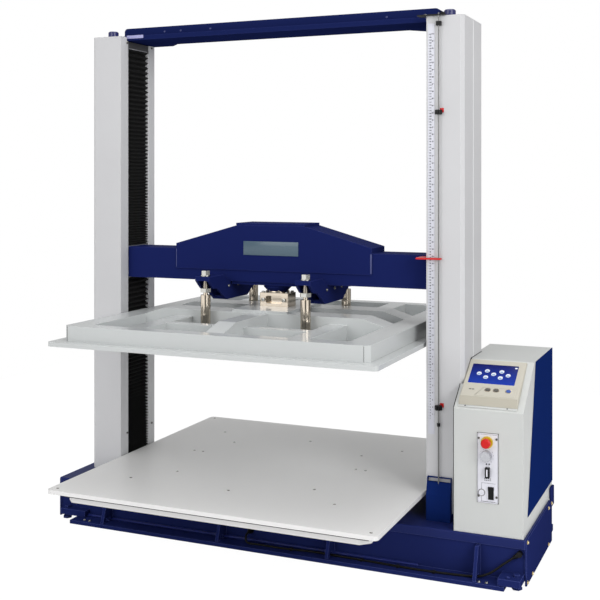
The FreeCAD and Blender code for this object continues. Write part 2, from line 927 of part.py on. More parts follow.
def post_fasteners():
    """On each stud a jam nut above the post's neck, and a flanged cap nut on top of the arm."""
    arm_top = crosshead_bottom + bracket_plate_top

    def stack(x, y):
        nut = hexagon(x, y, nut_flats, (nut_bottom, nut_bottom + nut_height))
        nut = nut.cut(upright(x, y, stud_radius, (nut_bottom - 1, nut_bottom + nut_height + 1)))
        flange = upright(x, y, washer_radius, (arm_top, arm_top + washer_height))
        head = hexagon(x, y, bolt_flats, (arm_top + washer_height, arm_top + washer_height + bolt_height))
        return grouped([nut, joined([flange, head])])
    return four_corners(stack, bracket_x, post_y)


# Load cell and upper platen

def load_cell_mount():
    """Plate under the beam and the turned adapter that hangs from it."""
    plate_low = crosshead_bottom - under_plate
    plate = block((-under_plate_half, under_plate_half), (-under_plate_depth, under_plate_depth),
                  (plate_low, crosshead_bottom))
    taper = plate_low - adapter_flange
    profile = [(0, adapter_bottom), (adapter_spacer_radius, adapter_bottom),
               (adapter_spacer_radius, adapter_bottom + adapter_spacer),
               (adapter_neck_radius, adapter_bottom + adapter_spacer), (adapter_flange_radius, taper),
               (adapter_flange_radius, plate_low), (0, plate_low)]
    return grouped([plate, turned(profile, Vec(0, 0, 0))])


def load_cell():
    """Shear beam block with two side pockets that leave a thin web."""
    zs = (load_cell_bottom, adapter_bottom)
    cell = rounded_plate((-load_cell_half, load_cell_half), (-load_cell_depth, load_cell_depth), zs, 3)
    middle = (zs[0] + zs[1]) / 2
    low, high = middle - load_cell_slot_height, middle + load_cell_slot_height
    web = load_cell_depth / 3
    for ys in ((-load_cell_depth - 1, -web), (web, load_cell_depth + 1)):
        pocket = block((-load_cell_slot_half, load_cell_slot_half), ys, (low, high))
        cell = cell.cut(rounded(pocket, load_cell_slot_height / 2, lambda c, d: abs(d.y) > 0.99))
    return cell


def platen_mount_plate():
    return rounded_plate((-mount_plate_half, mount_plate_half), (-mount_plate_depth, mount_plate_depth),
                         (rib_top, load_cell_bottom), 4)


def upper_platen_plate():
    span = (-platen_half, platen_half)
    return rounded_plate(span, span, (platen_bottom, platen_top), platen_corner)


side_inner = platen_frame_half - side_bar_width
end_inner = platen_frame_half - end_bar_width


def platen_bars():
    """Side, front and rear bars, chamfered together at the corners."""
    half = platen_frame_half
    cut = platen_frame_chamfer
    zs = (platen_top, platen_frame_top)
    side = prism_z([(side_inner, -half), (half - cut, -half), (half, -half + cut), (half, half - cut),
                    (half - cut, half), (side_inner, half)], zs)
    front = block((-side_inner, side_inner), (-half, -end_inner), zs)
    rear = block((-side_inner, side_inner), (end_inner, half), zs)
    return grouped([side, mirrored(side), front, rear])


def platen_ribs():
    """Lengthwise ribs, and the cross ribs between them that slope down to the frame."""
    zs = (platen_top, platen_frame_top)
    centre = prism_x([(-end_inner, zs[0]), (end_inner, zs[0]), (end_inner, zs[1]), (rib_slope_y, rib_top),
                      (-rib_slope_y, rib_top), (-end_inner, zs[1])], (-centre_rib_half, centre_rib_half))
    outer = block((outer_rib_inner, outer_rib_outer), (-end_inner, end_inner), zs)
    pieces = [centre, outer, mirrored(outer)]
    bays = ((centre_rib_half, outer_rib_inner), (outer_rib_outer, side_inner))
    for ys in ((-cross_rib_outer, -cross_rib_inner), (cross_rib_inner, cross_rib_outer)):
        inner_rib = block(bays[0], ys, (platen_top, rib_top))
        near, far = bays[1]
        end_rib = prism_y([(near, zs[0]), (far, zs[0]), (far, zs[1]), (rib_slope_x, rib_top), (near, rib_top)], ys)
        bridge = block((outer_rib_inner, outer_rib_outer), ys, (zs[1], rib_top))
        pieces += [inner_rib, mirrored(inner_rib), end_rib, mirrored(end_rib), bridge, mirrored(bridge)]
    for ys in ((-low_bar_outer, -low_bar_inner), (low_bar_inner, low_bar_outer)):
        bar = block(bays[0], ys, zs)
        pieces += [bar, mirrored(bar)]
    return grouped(pieces)


# Table

def table_plate():
    span = (-table_half, table_half)
    return rounded_plate(span, span, (table_top - table_thickness, table_top), platen_corner)


def octagon(reach, chamfer):
    quarter = [(reach, reach - chamfer), (reach - chamfer, reach)]
    half = quarter + [(-x, y) for x, y in reversed(quarter)]
    return half + [(-x, -y) for x, y in half]


def table_frame():
    """Welded grid under the table plate: perimeter walls with chamfered corners, and ribs between them."""
    half = table_half - table_frame_inset
    wall = table_frame_wall
    inner = half - wall
    top = table_top - table_thickness
    zs = (top - table_frame_height, top)
    rims = list(zip(octagon(half, table_frame_chamfer), octagon(inner, table_frame_chamfer)))
    pieces = []
    for (outer_start, inner_start), (outer_end, inner_end) in zip(rims, rims[1:] + rims[:1]):
        pieces.append(prism_z([outer_start, outer_end, inner_end, inner_start], zs))
    places = [-half + 2 * half * k / table_bays for k in range(1, table_bays)]
    sides = [-inner] + [place + end for place in places for end in (-wall / 2, wall / 2)] + [inner]
    for place in places:
        rib = (place - wall / 2, place + wall / 2)
        pieces.append(block(rib, (-inner, inner), zs))
        for bay in zip(sides[::2], sides[1::2]):
            pieces.append(block(bay, rib, zs))
    return grouped(pieces)


def table_supports():
    """Hollow rails on the deck that carry the table frame."""
    zs = (deck_top, table_top - table_thickness - table_frame_height)
    ys = (base_front + table_support_inset, base_rear - table_support_inset)
    half = table_support_width / 2
    wall = table_support_wall
    xs = (table_support_x - half, table_support_x + half)
    rail = block(xs, ys, zs).cut(block((xs[0] + wall, xs[1] - wall), (ys[0] - 1, ys[1] + 1),
                                       (zs[0] + wall, zs[1] - wall)))
    return both_sides(rail)


# Height ruler, limit rod and stops

def ruler():
    left = column_inner + ruler_offset
    return block((left, left + ruler_width), (column_front - ruler_thickness, column_front),
                 (ruler_bottom, ruler_top))


def rod_hole(zs, gap=running_gap):
    return upright(limit_rod_x, limit_rod_y, limit_rod_radius + gap, zs)


def limit_rod():
    low = switch_cover_top - (switch_cover_top - switch_cover_shoulder) / 2
    high = column_top + rod_plate_thickness + limit_rod_overtop
    return upright(limit_rod_x, limit_rod_y, limit_rod_radius, (low, high))


def limit_rod_guides():
    """Top plate on the column, the guide block below it and the collar near the bottom switch."""
    plate_ys = (limit_rod_y - limit_rod_radius * 2, limit_rod_y - limit_rod_radius * 2 + rod_plate_depth)
    plate_left = column_inner - rod_plate_overhang
    plate = rounded_plate((plate_left, plate_left + rod_plate_width), plate_ys,
                          (column_top, column_top + rod_plate_thickness), 3)
    guide_zs = (guide_z - guide_height / 2, guide_z + guide_height / 2)
    guide = block((limit_rod_x - guide_half, limit_rod_x + guide_half),
                  (limit_rod_y - limit_rod_radius * 2, column_front), guide_zs)
    collar_zs = (rod_collar_z - rod_collar_height / 2, rod_collar_z + rod_collar_height / 2)
    collar = hexagon(limit_rod_x, limit_rod_y, rod_collar_flats, collar_zs)
    bore = rod_hole((0, column_top * 2))
    return grouped([plate.cut(bore), guide.cut(bore), collar.cut(bore)])


def stop_knob(z):
    """A star knob that clamps on the limit rod."""
    zs = (z - stop_height / 2, z + stop_height / 2)
    outline = []
    lobe = 360 / stop_lobes
    for k in range(stop_lobes):
        for radius, share in ((stop_radius, -0.2), (stop_radius, 0.2), (stop_valley, 0.5)):
            outline.append(on_circle(radius, (k + share) * lobe, limit_rod_x, limit_rod_y))
    knob = prism_z(outline, zs).cut(rod_hole((zs[0] - 1, zs[1] + 1)))
    back = block((limit_rod_x - stop_radius * 2, limit_rod_x + stop_radius * 2),
                 (column_front - ruler_thickness, column_front + stop_radius * 2), (zs[0] - 1, zs[1] + 1))
    return knob.cut(back)


def height_pointer():
    """Flat arm from the beam's front face, bent round in front of the ruler, slotted for the limit rod."""
    zs = (pointer_z - pointer_thickness, pointer_z)
    pointer_inner = column_inner - pointer_overhang
    pointer_outer = pointer_inner + pointer_width
    leg, bar = pointer_inner + pointer_leg, pointer_front + pointer_bar
    outline = [(pointer_inner, crosshead_front), (pointer_inner, pointer_front), (pointer_outer, pointer_front),
               (pointer_outer, bar), (leg, bar), (leg, crosshead_front)]
    slot = block((limit_rod_x - limit_rod_radius * 2, pointer_outer + 1),
                 (limit_rod_y - limit_rod_radius - moving_gap, limit_rod_y + limit_rod_radius + moving_gap),
                 (zs[0] - 1, zs[1] + 1))
    return prism_z(outline, zs).cut(slot)


def limit_switch_cover():
    """Folded cover over the limit switches at the foot of the column, open at the back."""
    def outline(inset):
        front = column_front - switch_cover_depth + inset
        top = switch_cover_top - inset
        return [(column_front, deck_top), (front, deck_top), (front, switch_cover_shoulder),
                (column_front - switch_cover_crown - inset / 2, top), (column_front, top)]
    xs = (column_inner + switch_cover_inset, column_inner + switch_cover_inset + switch_cover_width)
    cover = prism_x(outline(0), xs).cut(prism_x(outline(sheet), (xs[0] + sheet, xs[1] - sheet)))
    return cover.cut(rod_hole((switch_cover_shoulder - sheet * 4, switch_cover_top + 1), moving_gap))


# Controller

def controller_profile(inset):
    low = deck_top
    lean = math.radians(slope_angle)
    front = controller_front + inset
    rear = controller_rear - inset
    top = controller_top - inset
    slope_low = controller_slope_z + inset * (math.tan(lean) - 1 / math.cos(lean))
    slope_y = controller_slope_y + inset * (1 / math.sin(lean) - 1 / math.tan(lean))
    return [(front, low), (rear, low), (rear, top), (slope_y, top), (front, slope_low)]


controller_left = column_outer - cover_bevel


def column_clearance(grow):
    """The column's envelope, where the controller housing wraps round it."""
    return block((controller_left - 1, column_outer + grow), (column_front - grow, column_rear + grow),
                 (deck_top - 1, controller_top + 1))


def rocker_window():
    return block((rocker_left + rocker_frame, rocker_right - rocker_frame),
                 (panel_front - rocker_proud - 1, controller_front + controller_wall + rocker_depth),
                 (rocker_bottom + rocker_frame, rocker_top - rocker_frame))


def controller_housing():
    """Folded sheet housing, open at the bottom, that wraps round the column's outer face."""
    wall = controller_wall
    outer = prism_x(controller_profile(0), (controller_left, controller_right)).cut(column_clearance(seat_gap))
    inner = prism_x(controller_profile(wall), (controller_left + wall, controller_right - wall))
    inner = inner.cut(column_clearance(seat_gap + wall))
    return outer.cut(inner).cut(rocker_window())


def controller_side_panel():
    outline = [(side_panel_front_top, controller_top), (controller_rear, controller_top),
               (controller_rear, side_panel_bottom), (side_panel_front_bottom, side_panel_bottom)]
    return prism_x(outline, (controller_right, controller_right + side_panel_sheet))


def slope_frame(shape):
    """Carry a piece from slope axes (x, along the slope, out of it) to the controller."""
    placed = shape.copy()
    placed.rotate(Vec(0, 0, 0), Vec(1, 0, 0), slope_angle)
    placed.translate(Vec(0, controller_front, controller_slope_z))
    return placed


def display_frame(shape):
    """Carry a piece from the axes of the display's face (x, up the face, out of it) to the controller."""
    placed = shape.copy()
    placed.rotate(Vec(0, 0, 0), Vec(1, 0, 0), -math.degrees(display_wedge))
    placed.translate(Vec(0, display_low, display_low_height))
    return slope_frame(placed)


def button_oval(x, grow, heights):
    """A stadium outline across the face, from one height to another."""
    radius = bezel_button_width / 2 + grow
    half = (bezel_button_length - bezel_button_width) / 2
    middle = block((x - half, x + half), (bezel_button_s - radius, bezel_button_s + radius), heights)
    return joined([middle, upright(x - half, bezel_button_s, radius, heights),
                   upright(x + half, bezel_button_s, radius, heights)])


def button_pockets(grow):
    depth = bezel_button_proud - bezel_button_height - bezel_button_travel - seat_gap
    return grouped([button_oval(x, grow, (depth, bezel_button_proud + 1)) for x in bezel_button_xs.values()])


def display_bezel():
    """Wedge shaped bezel on a thin mounting plate, with a recess for the screen."""
    plate = block((display_left, display_right), (display_plate_low, display_high), (0, display_plate))
    outline = [(display_lip, display_plate), (display_high, display_plate), (display_high, display_high_height),
               (display_low, display_low_height)]
    wedge = prism_x(outline, (display_left, display_right))
    wedge = rounded(wedge, display_corner, lambda c, d: abs(d.y) > 0.9 and c.z > display_high_height)
    recess = rounded_plate((screen_left, screen_right), (screen_low, screen_high),
                           (-screen_recess - screen_glass, 1), screen_corner)
    body = slope_frame(joined([plate, wedge]))
    return body.cut(display_frame(recess)).cut(display_frame(button_pockets(bezel_button_gap)))


def display_screen():
    return display_frame(rounded_plate((screen_left, screen_right), (screen_low, screen_high),
                                       (-screen_recess - screen_glass, -screen_recess), screen_corner))


def bezel_button(side):
    low = bezel_button_proud - bezel_button_height
    return display_frame(button_oval(bezel_button_xs[side], 0, (low, bezel_button_proud)))


def switch_panel():
    """Panel plate, the rocker's frame and the fuse cap."""
    plate = block((panel_left, panel_right), (panel_front, controller_front), (panel_bottom, panel_top))
    plate = rounded(plate, panel_corner, lambda c, d: abs(d.y) > 0.99)
    frame = block((rocker_left, rocker_right), (panel_front - rocker_proud, panel_front),
                  (rocker_bottom, rocker_top))
    cap = turned([(0, 0), (fuse_radius, 0), (fuse_radius, fuse_length * 0.4), (fuse_radius * 0.8, fuse_length),
                  (0, fuse_length)], Vec(fuse_x, panel_front, fuse_z), Vec(0, -1, 0))
    cap = cap.cut(block((fuse_x - fuse_radius, fuse_x + fuse_radius), (panel_front - fuse_length - 1,
                        panel_front - fuse_length + 1.5), (fuse_z - 1, fuse_z + 1)))
    stem = forward(estop_x, estop_z, estop_stem_radius + moving_gap, (panel_front - 1, controller_front + 1))
    knob = forward(knob_x, knob_z, estop_stem_radius / 2 + running_gap, (panel_front - 1, controller_front + 1))
    return grouped([joined([plate, frame]).cut(rocker_window()).cut(stem).cut(knob), cap])


def mains_connector():
    """Inlet body with two small pin slots above it in the same moulding."""
    ys = (panel_front - connector_length, panel_front)
    body = block((connector_left, connector_right), ys, (connector_bottom, connector_top))
    width = (connector_right - connector_left) / 4
    middle = (connector_left + connector_right) / 2
    for sign in (-1, 1):
        x = middle + sign * width
        body = body.cut(block((x - width / 2, x + width / 2), (ys[0] - 1, ys[0] + connector_length / 2),
                              (connector_top - width * 3, connector_top - width * 1.5)))
    return body


def estop_collar():
    bore = estop_stem_radius + running_gap
    length = estop_collar_length
    profile = [(bore, 0), (estop_collar_radius, 0), (estop_collar_radius, length), (bore, length)]
    return turned(profile, Vec(estop_x, panel_front, estop_z), Vec(0, -1, 0))


def estop_button():
    """Mushroom button with a bevelled rim, on the stem that slides through its collar."""
    foot = estop_travel + seat_gap - panel_thickness
    low = estop_collar_length + estop_travel + moving_gap
    high = low + estop_head_length
    rim, bevel = estop_head_radius, estop_head_bevel
    profile = [(0, foot), (estop_stem_radius, foot), (estop_stem_radius, low), (rim, low),
               (rim, high - bevel), (rim - bevel, high), (0, high)]
    return turned(profile, Vec(estop_x, panel_front, estop_z), Vec(0, -1, 0))


def speed_knob():
    """Fluted knob with a plain turned face, on its spindle."""
    grip_back = panel_front - seat_gap
    grip_front = panel_front - knob_length + knob_face
    outline = []
    for k in range(knob_flutes):
        outline.append(on_circle(knob_radius, 360 * k / knob_flutes, knob_x, knob_z))
        outline.append(on_circle(knob_radius - knob_flute_depth, 360 * (k + 0.5) / knob_flutes, knob_x, knob_z))
    grip = prism_y(outline, (grip_front, grip_back))
    face = forward(knob_x, knob_z, knob_radius - 2 * knob_flute_depth, (panel_front - knob_length, grip_front))
    spindle = forward(knob_x, knob_z, estop_stem_radius / 2, (grip_back, controller_front))
    return joined([grip, face, spindle])


def power_switch():
    """Rocker with a shallow V face, tilted to its lower stop."""
    half = (rocker_top - rocker_bottom) / 2 - rocker_frame - 2 * moving_gap
    middle = (rocker_top + rocker_bottom) / 2
    front = panel_front - rocker_proud
    face = [(front + 1.5, middle), (front - 1.5, middle + half), (front + rocker_depth, middle + half),
            (front + rocker_depth, middle - half), (front - 1.5, middle - half)]
    xs = (rocker_left + rocker_frame + seat_gap, rocker_right - rocker_frame - seat_gap)
    rocker = prism_x(face, xs)
    rocker.rotate(Vec(0, front + rocker_depth / 2, middle), Vec(1, 0, 0), rocker_tilt)
    return rocker


# Signal cable

def cable_path():
    """Straight runs joined by tangent arcs as large as the runs beside each point allow."""
    points = [Vec(*point) for point in cable_points]
    edges = []
    radii = []
    start = points[0]
    length = 0
    for before, corner, after in zip(points, points[1:], points[2:]):
        inward = (corner - before).normalize()
        outward = (after - corner).normalize()
        run = min((corner - before).Length, (after - corner).Length)
        turn = inward.getAngle(outward)
        back = 0.45 * run
        radius = back / math.tan(turn / 2)
        radii.append(radius)
        first = corner - inward * back
        last = corner + outward * back
        centre = corner + (outward - inward).normalize() * math.hypot(radius, back)
        middle = centre + (corner - centre).normalize() * radius
        edges.append(Part.LineSegment(start, first).toShape())
        edges.append(Part.Arc(first, middle, last).toShape())
        start = last
    edges.append(Part.LineSegment(start, points[-1]).toShape())
    path = Part.Wire(edges)
    print("cable arc radii", " ".join("%.0f" % radius for radius in radii), "length %.1f" % path.Length)
    return path


def sensor_cable():
    path = cable_path()
    start = Vec(*cable_points[0])
    direction = (Vec(*cable_points[1]) - start).normalize()
    corners = [on_circle(cable_radius, 360 * (k + 0.5) / cable_sides) for k in range(cable_sides)]
    facing = FreeCAD.Rotation(Vec(0, 0, 1), direction)
    ring = Part.makePolygon([start + facing.multVec(Vec(x, y, 0)) for x, y in corners + corners[:1]])
    cable = path.makePipeShell([ring], True, False)
    expected = Part.Face(ring).Area * path.Length
    print("cable volume over section times length %.4f" % (cable.Volume / expected))
    return cable


def cable_gland():
    """Tapered gland on the front web, and the plug at the cable's far end."""
    start = Vec(*cable_points[0])
    depth = web_front - start.y
    profile = [(0, 0), (gland_root_radius, 0), (gland_root_radius, depth * 0.3), (gland_tip_radius, depth),
               (0, depth)]
    gland = turned(profile, Vec(start.x, web_front, start.z), Vec(0, -1, 0))
    end = Vec(*cable_points[-1])
    onward = (end - Vec(*cable_points[-2])).normalize()
    elbow = end + onward * plug_length
    grip = plug_length / 2
    barrel = turned([(0, 0), (cable_radius + 1, 0), (plug_radius, grip), (plug_radius, plug_length),
                     (0, plug_length)], end, onward)
    socket = forward(elbow.x, elbow.z, plug_socket_radius, (elbow.y - plug_radius, web_front))
    return grouped([gland, joined([barrel, socket])])


def cable_place(x):
    """Where the straight runs pass a given x on the flange."""
    for before, after in zip(cable_points, cable_points[1:]):
        if before[0] <= x <= after[0]:
            share = (x - before[0]) / (after[0] - before[0])
            return tuple(low + share * (high - low) for low, high in zip(before[1:], after[1:]))


def cable_clips():
    """Saddle clips over the cable on the flange."""
    clips = []
    for x in clip_xs:
        y, z = cable_place(x)
        outer = cable_radius + clip_wall + 1
        inner = cable_radius + 1
        top = z + outer
        xs = (x - clip_width / 2, x + clip_width / 2)
        saddle = block(xs, (y - outer, y + outer), (flange_thickness, top))
        saddle = rounded(saddle, outer * 0.8, lambda c, d: abs(d.x) > 0.99 and c.z > flange_thickness + 1)
        hollow = block((x - clip_width, x + clip_width), (y - inner, y + inner), (flange_thickness, z + inner))
        foot = block(xs, (y + inner, y + inner + clip_width * 1.2),
                     (flange_thickness, flange_thickness + clip_wall))
        clips.append(joined([saddle.cut(hollow), foot]))
    return grouped(clips)


# Every sub-part by its name

def all_parts():
    front, rear = front_cover(), rear_cover()
    parts = {
        "base_beams": base_beams(),
        "base_deck": base_deck(),
        "base_end_panels": base_end_panels(),
        "foot_brackets": foot_brackets(),
        "levelling_feet": levelling_feet(),
        "right_front_cover": front,
        "right_rear_cover": rear,
        "left_front_cover": mirrored(front),
        "left_rear_cover": mirrored(rear),
        "column_top_plates": column_top_plates(),
        "column_frames": column_frames(),
        "guide_rods": guide_rods(),
        "guide_rod_caps": guide_rod_caps(),
        "screw_end_plates": screw_end_plates(),
        "top_crossbeam": top_crossbeam(),
        "left_ball_screw": ball_screw(-1),
        "right_ball_screw": ball_screw(1),
        "motor_pulley": motor_pulley(),
        "drive_belts": drive_belts(),
        "drive_motor": drive_motor(),
        "upper_bellows": bellows((upper_moving, upper_fixed)),
        "lower_bellows": bellows((lower_fixed, lower_moving)),
        "bellows_end_brackets": bellows_end_brackets(),
        "crosshead_beam": crosshead_beam(),
        "crosshead_carriages": grouped([crosshead_carriages(), crosshead_bellows_plates()]),
        "crosshead_housing": crosshead_housing(),
        "platen_brackets": platen_brackets(),
        "platen_posts": platen_posts(),
        "post_fasteners": post_fasteners(),
        "load_cell_mount": load_cell_mount(),
        "load_cell": load_cell(),
        "platen_mount_plate": platen_mount_plate(),
        "upper_platen_plate": upper_platen_plate(),
        "upper_platen_frame": grouped([platen_bars(), platen_ribs()]),
        "table_plate": table_plate(),
        "table_frame": table_frame(),
        "table_supports": table_supports(),
        "ruler": ruler(),
        "limit_rod": limit_rod(),
        "limit_rod_guides": limit_rod_guides(),
        "upper_stop_knob": stop_knob(upper_stop_z),
        "lower_stop_knob": stop_knob(lower_stop_z),
        "height_pointer": height_pointer(),
        "limit_switch_cover": limit_switch_cover(),
        "controller_housing": controller_housing(),
        "controller_side_panel": controller_side_panel(),
        "display_bezel": display_bezel(),
        "display_screen": display_screen(),
        "switch_panel": switch_panel(),
        "mains_connector": mains_connector(),
        "estop_collar": estop_collar(),
        "estop_button": estop_button(),
        "speed_knob": speed_knob(),
        "power_switch": power_switch(),
        "sensor_cable": sensor_cable(),
        "cable_gland": cable_gland(),
        "cable_clips": cable_clips(),
    }
    for side in bezel_button_xs:
        parts["bezel_button_" + side] = bezel_button(side)
    return parts


os.makedirs("parts", exist_ok=True)
to_origin = Vec(-(base_left + base_right) / 2, 0, 0)
for name, shape in all_parts().items():
    if not shape.isValid() or shape.Volume <= 0:
        print("check", name, shape.isValid(), shape.Volume)
    shape.translated(to_origin).exportStep("parts/" + name + ".step")
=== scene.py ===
# %% [markdown]
# # A box compression tester, dressed for its portrait
# A platen comes down on two screws towards a fixed table, and a load cell above it feels the push.
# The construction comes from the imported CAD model, so this lesson only adds what a
# photograph shows and CAD leaves plain: paint, plating, rubber, screws, marks and small trim.

# %% Load the frame
import math

import bmesh
import bpy
from mathutils import Matrix, Vector


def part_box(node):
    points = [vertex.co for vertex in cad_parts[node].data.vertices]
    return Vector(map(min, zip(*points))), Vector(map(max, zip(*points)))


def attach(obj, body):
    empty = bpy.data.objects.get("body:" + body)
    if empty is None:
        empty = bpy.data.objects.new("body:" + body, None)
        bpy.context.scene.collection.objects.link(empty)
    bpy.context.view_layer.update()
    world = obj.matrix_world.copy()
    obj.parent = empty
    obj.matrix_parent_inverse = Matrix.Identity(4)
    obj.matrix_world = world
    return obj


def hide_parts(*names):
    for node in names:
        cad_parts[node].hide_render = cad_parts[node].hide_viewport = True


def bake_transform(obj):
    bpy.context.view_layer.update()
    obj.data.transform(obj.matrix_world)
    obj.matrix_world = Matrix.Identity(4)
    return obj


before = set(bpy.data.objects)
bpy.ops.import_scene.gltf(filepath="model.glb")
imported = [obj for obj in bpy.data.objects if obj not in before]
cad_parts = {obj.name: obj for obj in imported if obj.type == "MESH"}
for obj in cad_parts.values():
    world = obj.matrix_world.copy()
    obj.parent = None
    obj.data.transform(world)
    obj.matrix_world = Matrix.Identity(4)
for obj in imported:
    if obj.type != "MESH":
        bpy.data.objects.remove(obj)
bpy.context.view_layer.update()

# %% [markdown]
# ## Places that everything else is worked out from
# A badge or a screw sits on a CAD piece. Its place could be copied from the drawing as a number, but
# a change there would leave it behind, so the frame's own boxes say where each piece lies. The load
# axis runs through the middle of the crosshead's beam.

# %% Points measured from the load axis
def middle(node, axis):
    low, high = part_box(node)
    return (low[axis] + high[axis]) / 2


MM = 0.001
load_axis = middle("crosshead_beam", 0)
print("load axis at x =", round(load_axis, 4))


def at(x, y, z):
    """A point given in millimetres from the load axis and the floor."""
    return Vector((load_axis + x * MM, y * MM, z * MM))


# %% [markdown]
# ## The camera
# The photograph was taken from the front right, just above the crosshead. A camera tilted down
# would make the columns lean together, and they stand upright in the picture, so the camera stays
# level and its picture is shifted down instead. A long lens keeps the perspective gentle. The
# numbers come from matching the edges of the columns and platens.

# %% Camera
image_side = 600
focal_px = 1038.8
horizon_px = 179.8
camera_yaw = math.radians(23.34)
sensor_mm = 36.0

camera_data = bpy.data.cameras.new("photo_camera")
camera = bpy.data.objects.new("photo_camera", camera_data)
bpy.context.scene.collection.objects.link(camera)
camera.location = at(1687, -3691, 1350.6)
camera.rotation_euler = (math.radians(90), 0, camera_yaw)
camera_data.sensor_width = sensor_mm
camera_data.lens = focal_px / image_side * sensor_mm
camera_data.shift_y = (horizon_px - image_side / 2) / image_side
camera_data.clip_end = 50
bpy.context.scene.camera = camera
bpy.context.scene.view_settings.view_transform = "Standard"
print("lens", round(camera_data.lens, 2), "mm, shift", round(camera_data.shift_y, 3))

# %% [markdown]
# ## Shader sums as Python
# A material could be wired node by node, but it is easier to read as an expression. This small class
# wraps a socket and overloads the operators, so that writing 1 - mask * 0.2 adds the Math nodes. The
# second class holds one material and has one method that adds any other node.

# %% Two classes for materials
class Value:
    """A socket's value, on which Python's operators add Math nodes."""

    def __init__(self, finish, socket):
        self.finish = finish
        self.socket = socket

    def maths(self, operation, *others):
        terms = dict(enumerate((self,) + others))
        return self.finish.add("ShaderNodeMath", {"operation": operation}, terms)

    def __add__(self, other):
        return self.maths("ADD", other)

    def __mul__(self, other):
        return self.maths("MULTIPLY", other)

    def __sub__(self, other):
        return self.maths("SUBTRACT", other)

    def __rsub__(self, other):
        return self.maths("MULTIPLY", -1.0) + other

    def __gt__(self, other):
        return self.maths("GREATER_THAN", other)

    def __lt__(self, other):
        return self.maths("LESS_THAN", other)

    def __mod__(self, other):
        return self.maths("FLOORED_MODULO", other)

    __radd__ = __add__
    __rmul__ = __mul__


class Finish:
    """A material under construction, with one method that adds any node."""

    def __init__(self, name, **sockets):
        self.material = bpy.data.materials.new(name)
        self.material.use_nodes = True
        self.tree = self.material.node_tree
        self.shader = self.tree.nodes["Principled BSDF"]
        for socket, value in sockets.items():
            self.set(socket.replace("_", " ").title(), value)

    def add(self, kind, settings=None, inputs=None, output=0):
        node = self.tree.nodes.new(kind)
        for key, value in (settings or {}).items():
            setattr(node, key, value)
        for key, value in (inputs or {}).items():
            self.plug(node.inputs[key], value)
        return Value(self, node.outputs[output])

    def plug(self, socket, value):
        if isinstance(value, Value):
            self.tree.links.new(value.socket, socket)
        else:
            socket.default_value = value

    def set(self, socket, value):
        self.plug(self.shader.inputs[socket], value)

    def place(self):
        """The point being shaded, in the piece's own coordinates."""
        return self.add("ShaderNodeTexCoord", output=3)

    def axis(self, index):
        return self.add("ShaderNodeSeparateXYZ", None, {0: self.place()}, output=index)

    def noise(self, scale, detail=3.0, roughness=0.5, stretch=None):
        place = self.place()
        if stretch:
            place = self.add("ShaderNodeMapping", None, {"Vector": place, "Scale": stretch})
        return self.add("ShaderNodeTexNoise", None, {"Vector": place, "Scale": scale, "Detail": detail,
                                                      "Roughness": roughness})

    def blend(self, mask, first, second):
        return self.add("ShaderNodeMix", {"data_type": "RGBA"}, {0: mask, 6: first, 7: second}, output=2)

    def edges(self, radius):
        """1 along edges that are sharper than the radius, 0 on the flat."""
        gain = 5.0
        rounded = self.add("ShaderNodeBevel", {"samples": 4}, {"Radius": radius})
        flat = self.add("ShaderNodeNewGeometry", output=1)
        likeness = self.add("ShaderNodeVectorMath", {"operation": "DOT_PRODUCT"},
                            {0: rounded, 1: flat}, output=1)
        return self.add("ShaderNodeMath", {"operation": "MULTIPLY", "use_clamp": True},
                        {0: 1.0 - likeness, 1: gain})

    def soften(self, radius, height=None, strength=0.2, distance=0.001):
        """Round the look of sharp edges, and add a fine relief on top."""
        normal = self.add("ShaderNodeBevel", {"samples": 4}, {"Radius": radius})
        if height is not None:
            normal = self.add("ShaderNodeBump", None, {"Strength": strength, "Distance": distance,
                                                       "Height": height, "Normal": normal})
        self.set("Normal", normal)


def srgb(red, green, blue):
    """A screen colour, 0 to 255, as the linear colour that a shader takes."""
    def linear(channel):
        share = channel / 255
        return share / 12.92 if share <= 0.04045 else ((share + 0.055) / 1.055) ** 2.4
    return (linear(red), linear(green), linear(blue), 1.0)


# %% [markdown]
# ## Paint
# Most of the tester is steel sheet under paint. Powder coat is never quite even: it has a slight
# orange peel, faint clouds where it went on thicker, and a paler line along its edges, partly where
# they are worn and partly a painted highlight where their rounding catches the light. All this could
# come from pictures wrapped round each sheet, but noise in the shader needs no pictures and has the
# same grain on every piece. One function makes every paint, and only its numbers change.

# %% Paints
cloud_scale, peel_scale = 3.0, 420.0
wear_and_highlight_width = 0.003
peel_depth = 0.0006


def paint(name, colour, gloss, peel=0.12, clouds=0.05, coat=0.0, edge=0.0018, shine=0.5, wear_and_highlight=None):
    """A paint: clouds and peel are strengths, edge is a radius, and wear_and_highlight the colour of its
    edges, worn and with a painted highlight.
    """
    finish = Finish(name, coat_weight=coat, coat_roughness=0.08)
    finish.shader.inputs["Specular IOR Level"].default_value = shine
    cloud = finish.noise(cloud_scale, 4.0)
    speck = finish.noise(peel_scale, 2.0)
    shade = cloud * (2 * clouds) + (1.0 - clouds)
    tinted = finish.add("ShaderNodeVectorMath", {"operation": "SCALE"}, {0: colour[:3], 3: shade})
    # The paler edge colour is partly wear and partly a painted highlight along edges that catch the light.
    if wear_and_highlight:
        tinted = finish.blend(finish.edges(wear_and_highlight_width) * (cloud * 0.6 + 0.5), tinted, wear_and_highlight)
    finish.set("Base Color", tinted)
    finish.set("Roughness", cloud * 0.10 + (gloss - 0.05))
    finish.soften(edge, speck, peel, peel_depth)
    return finish.material


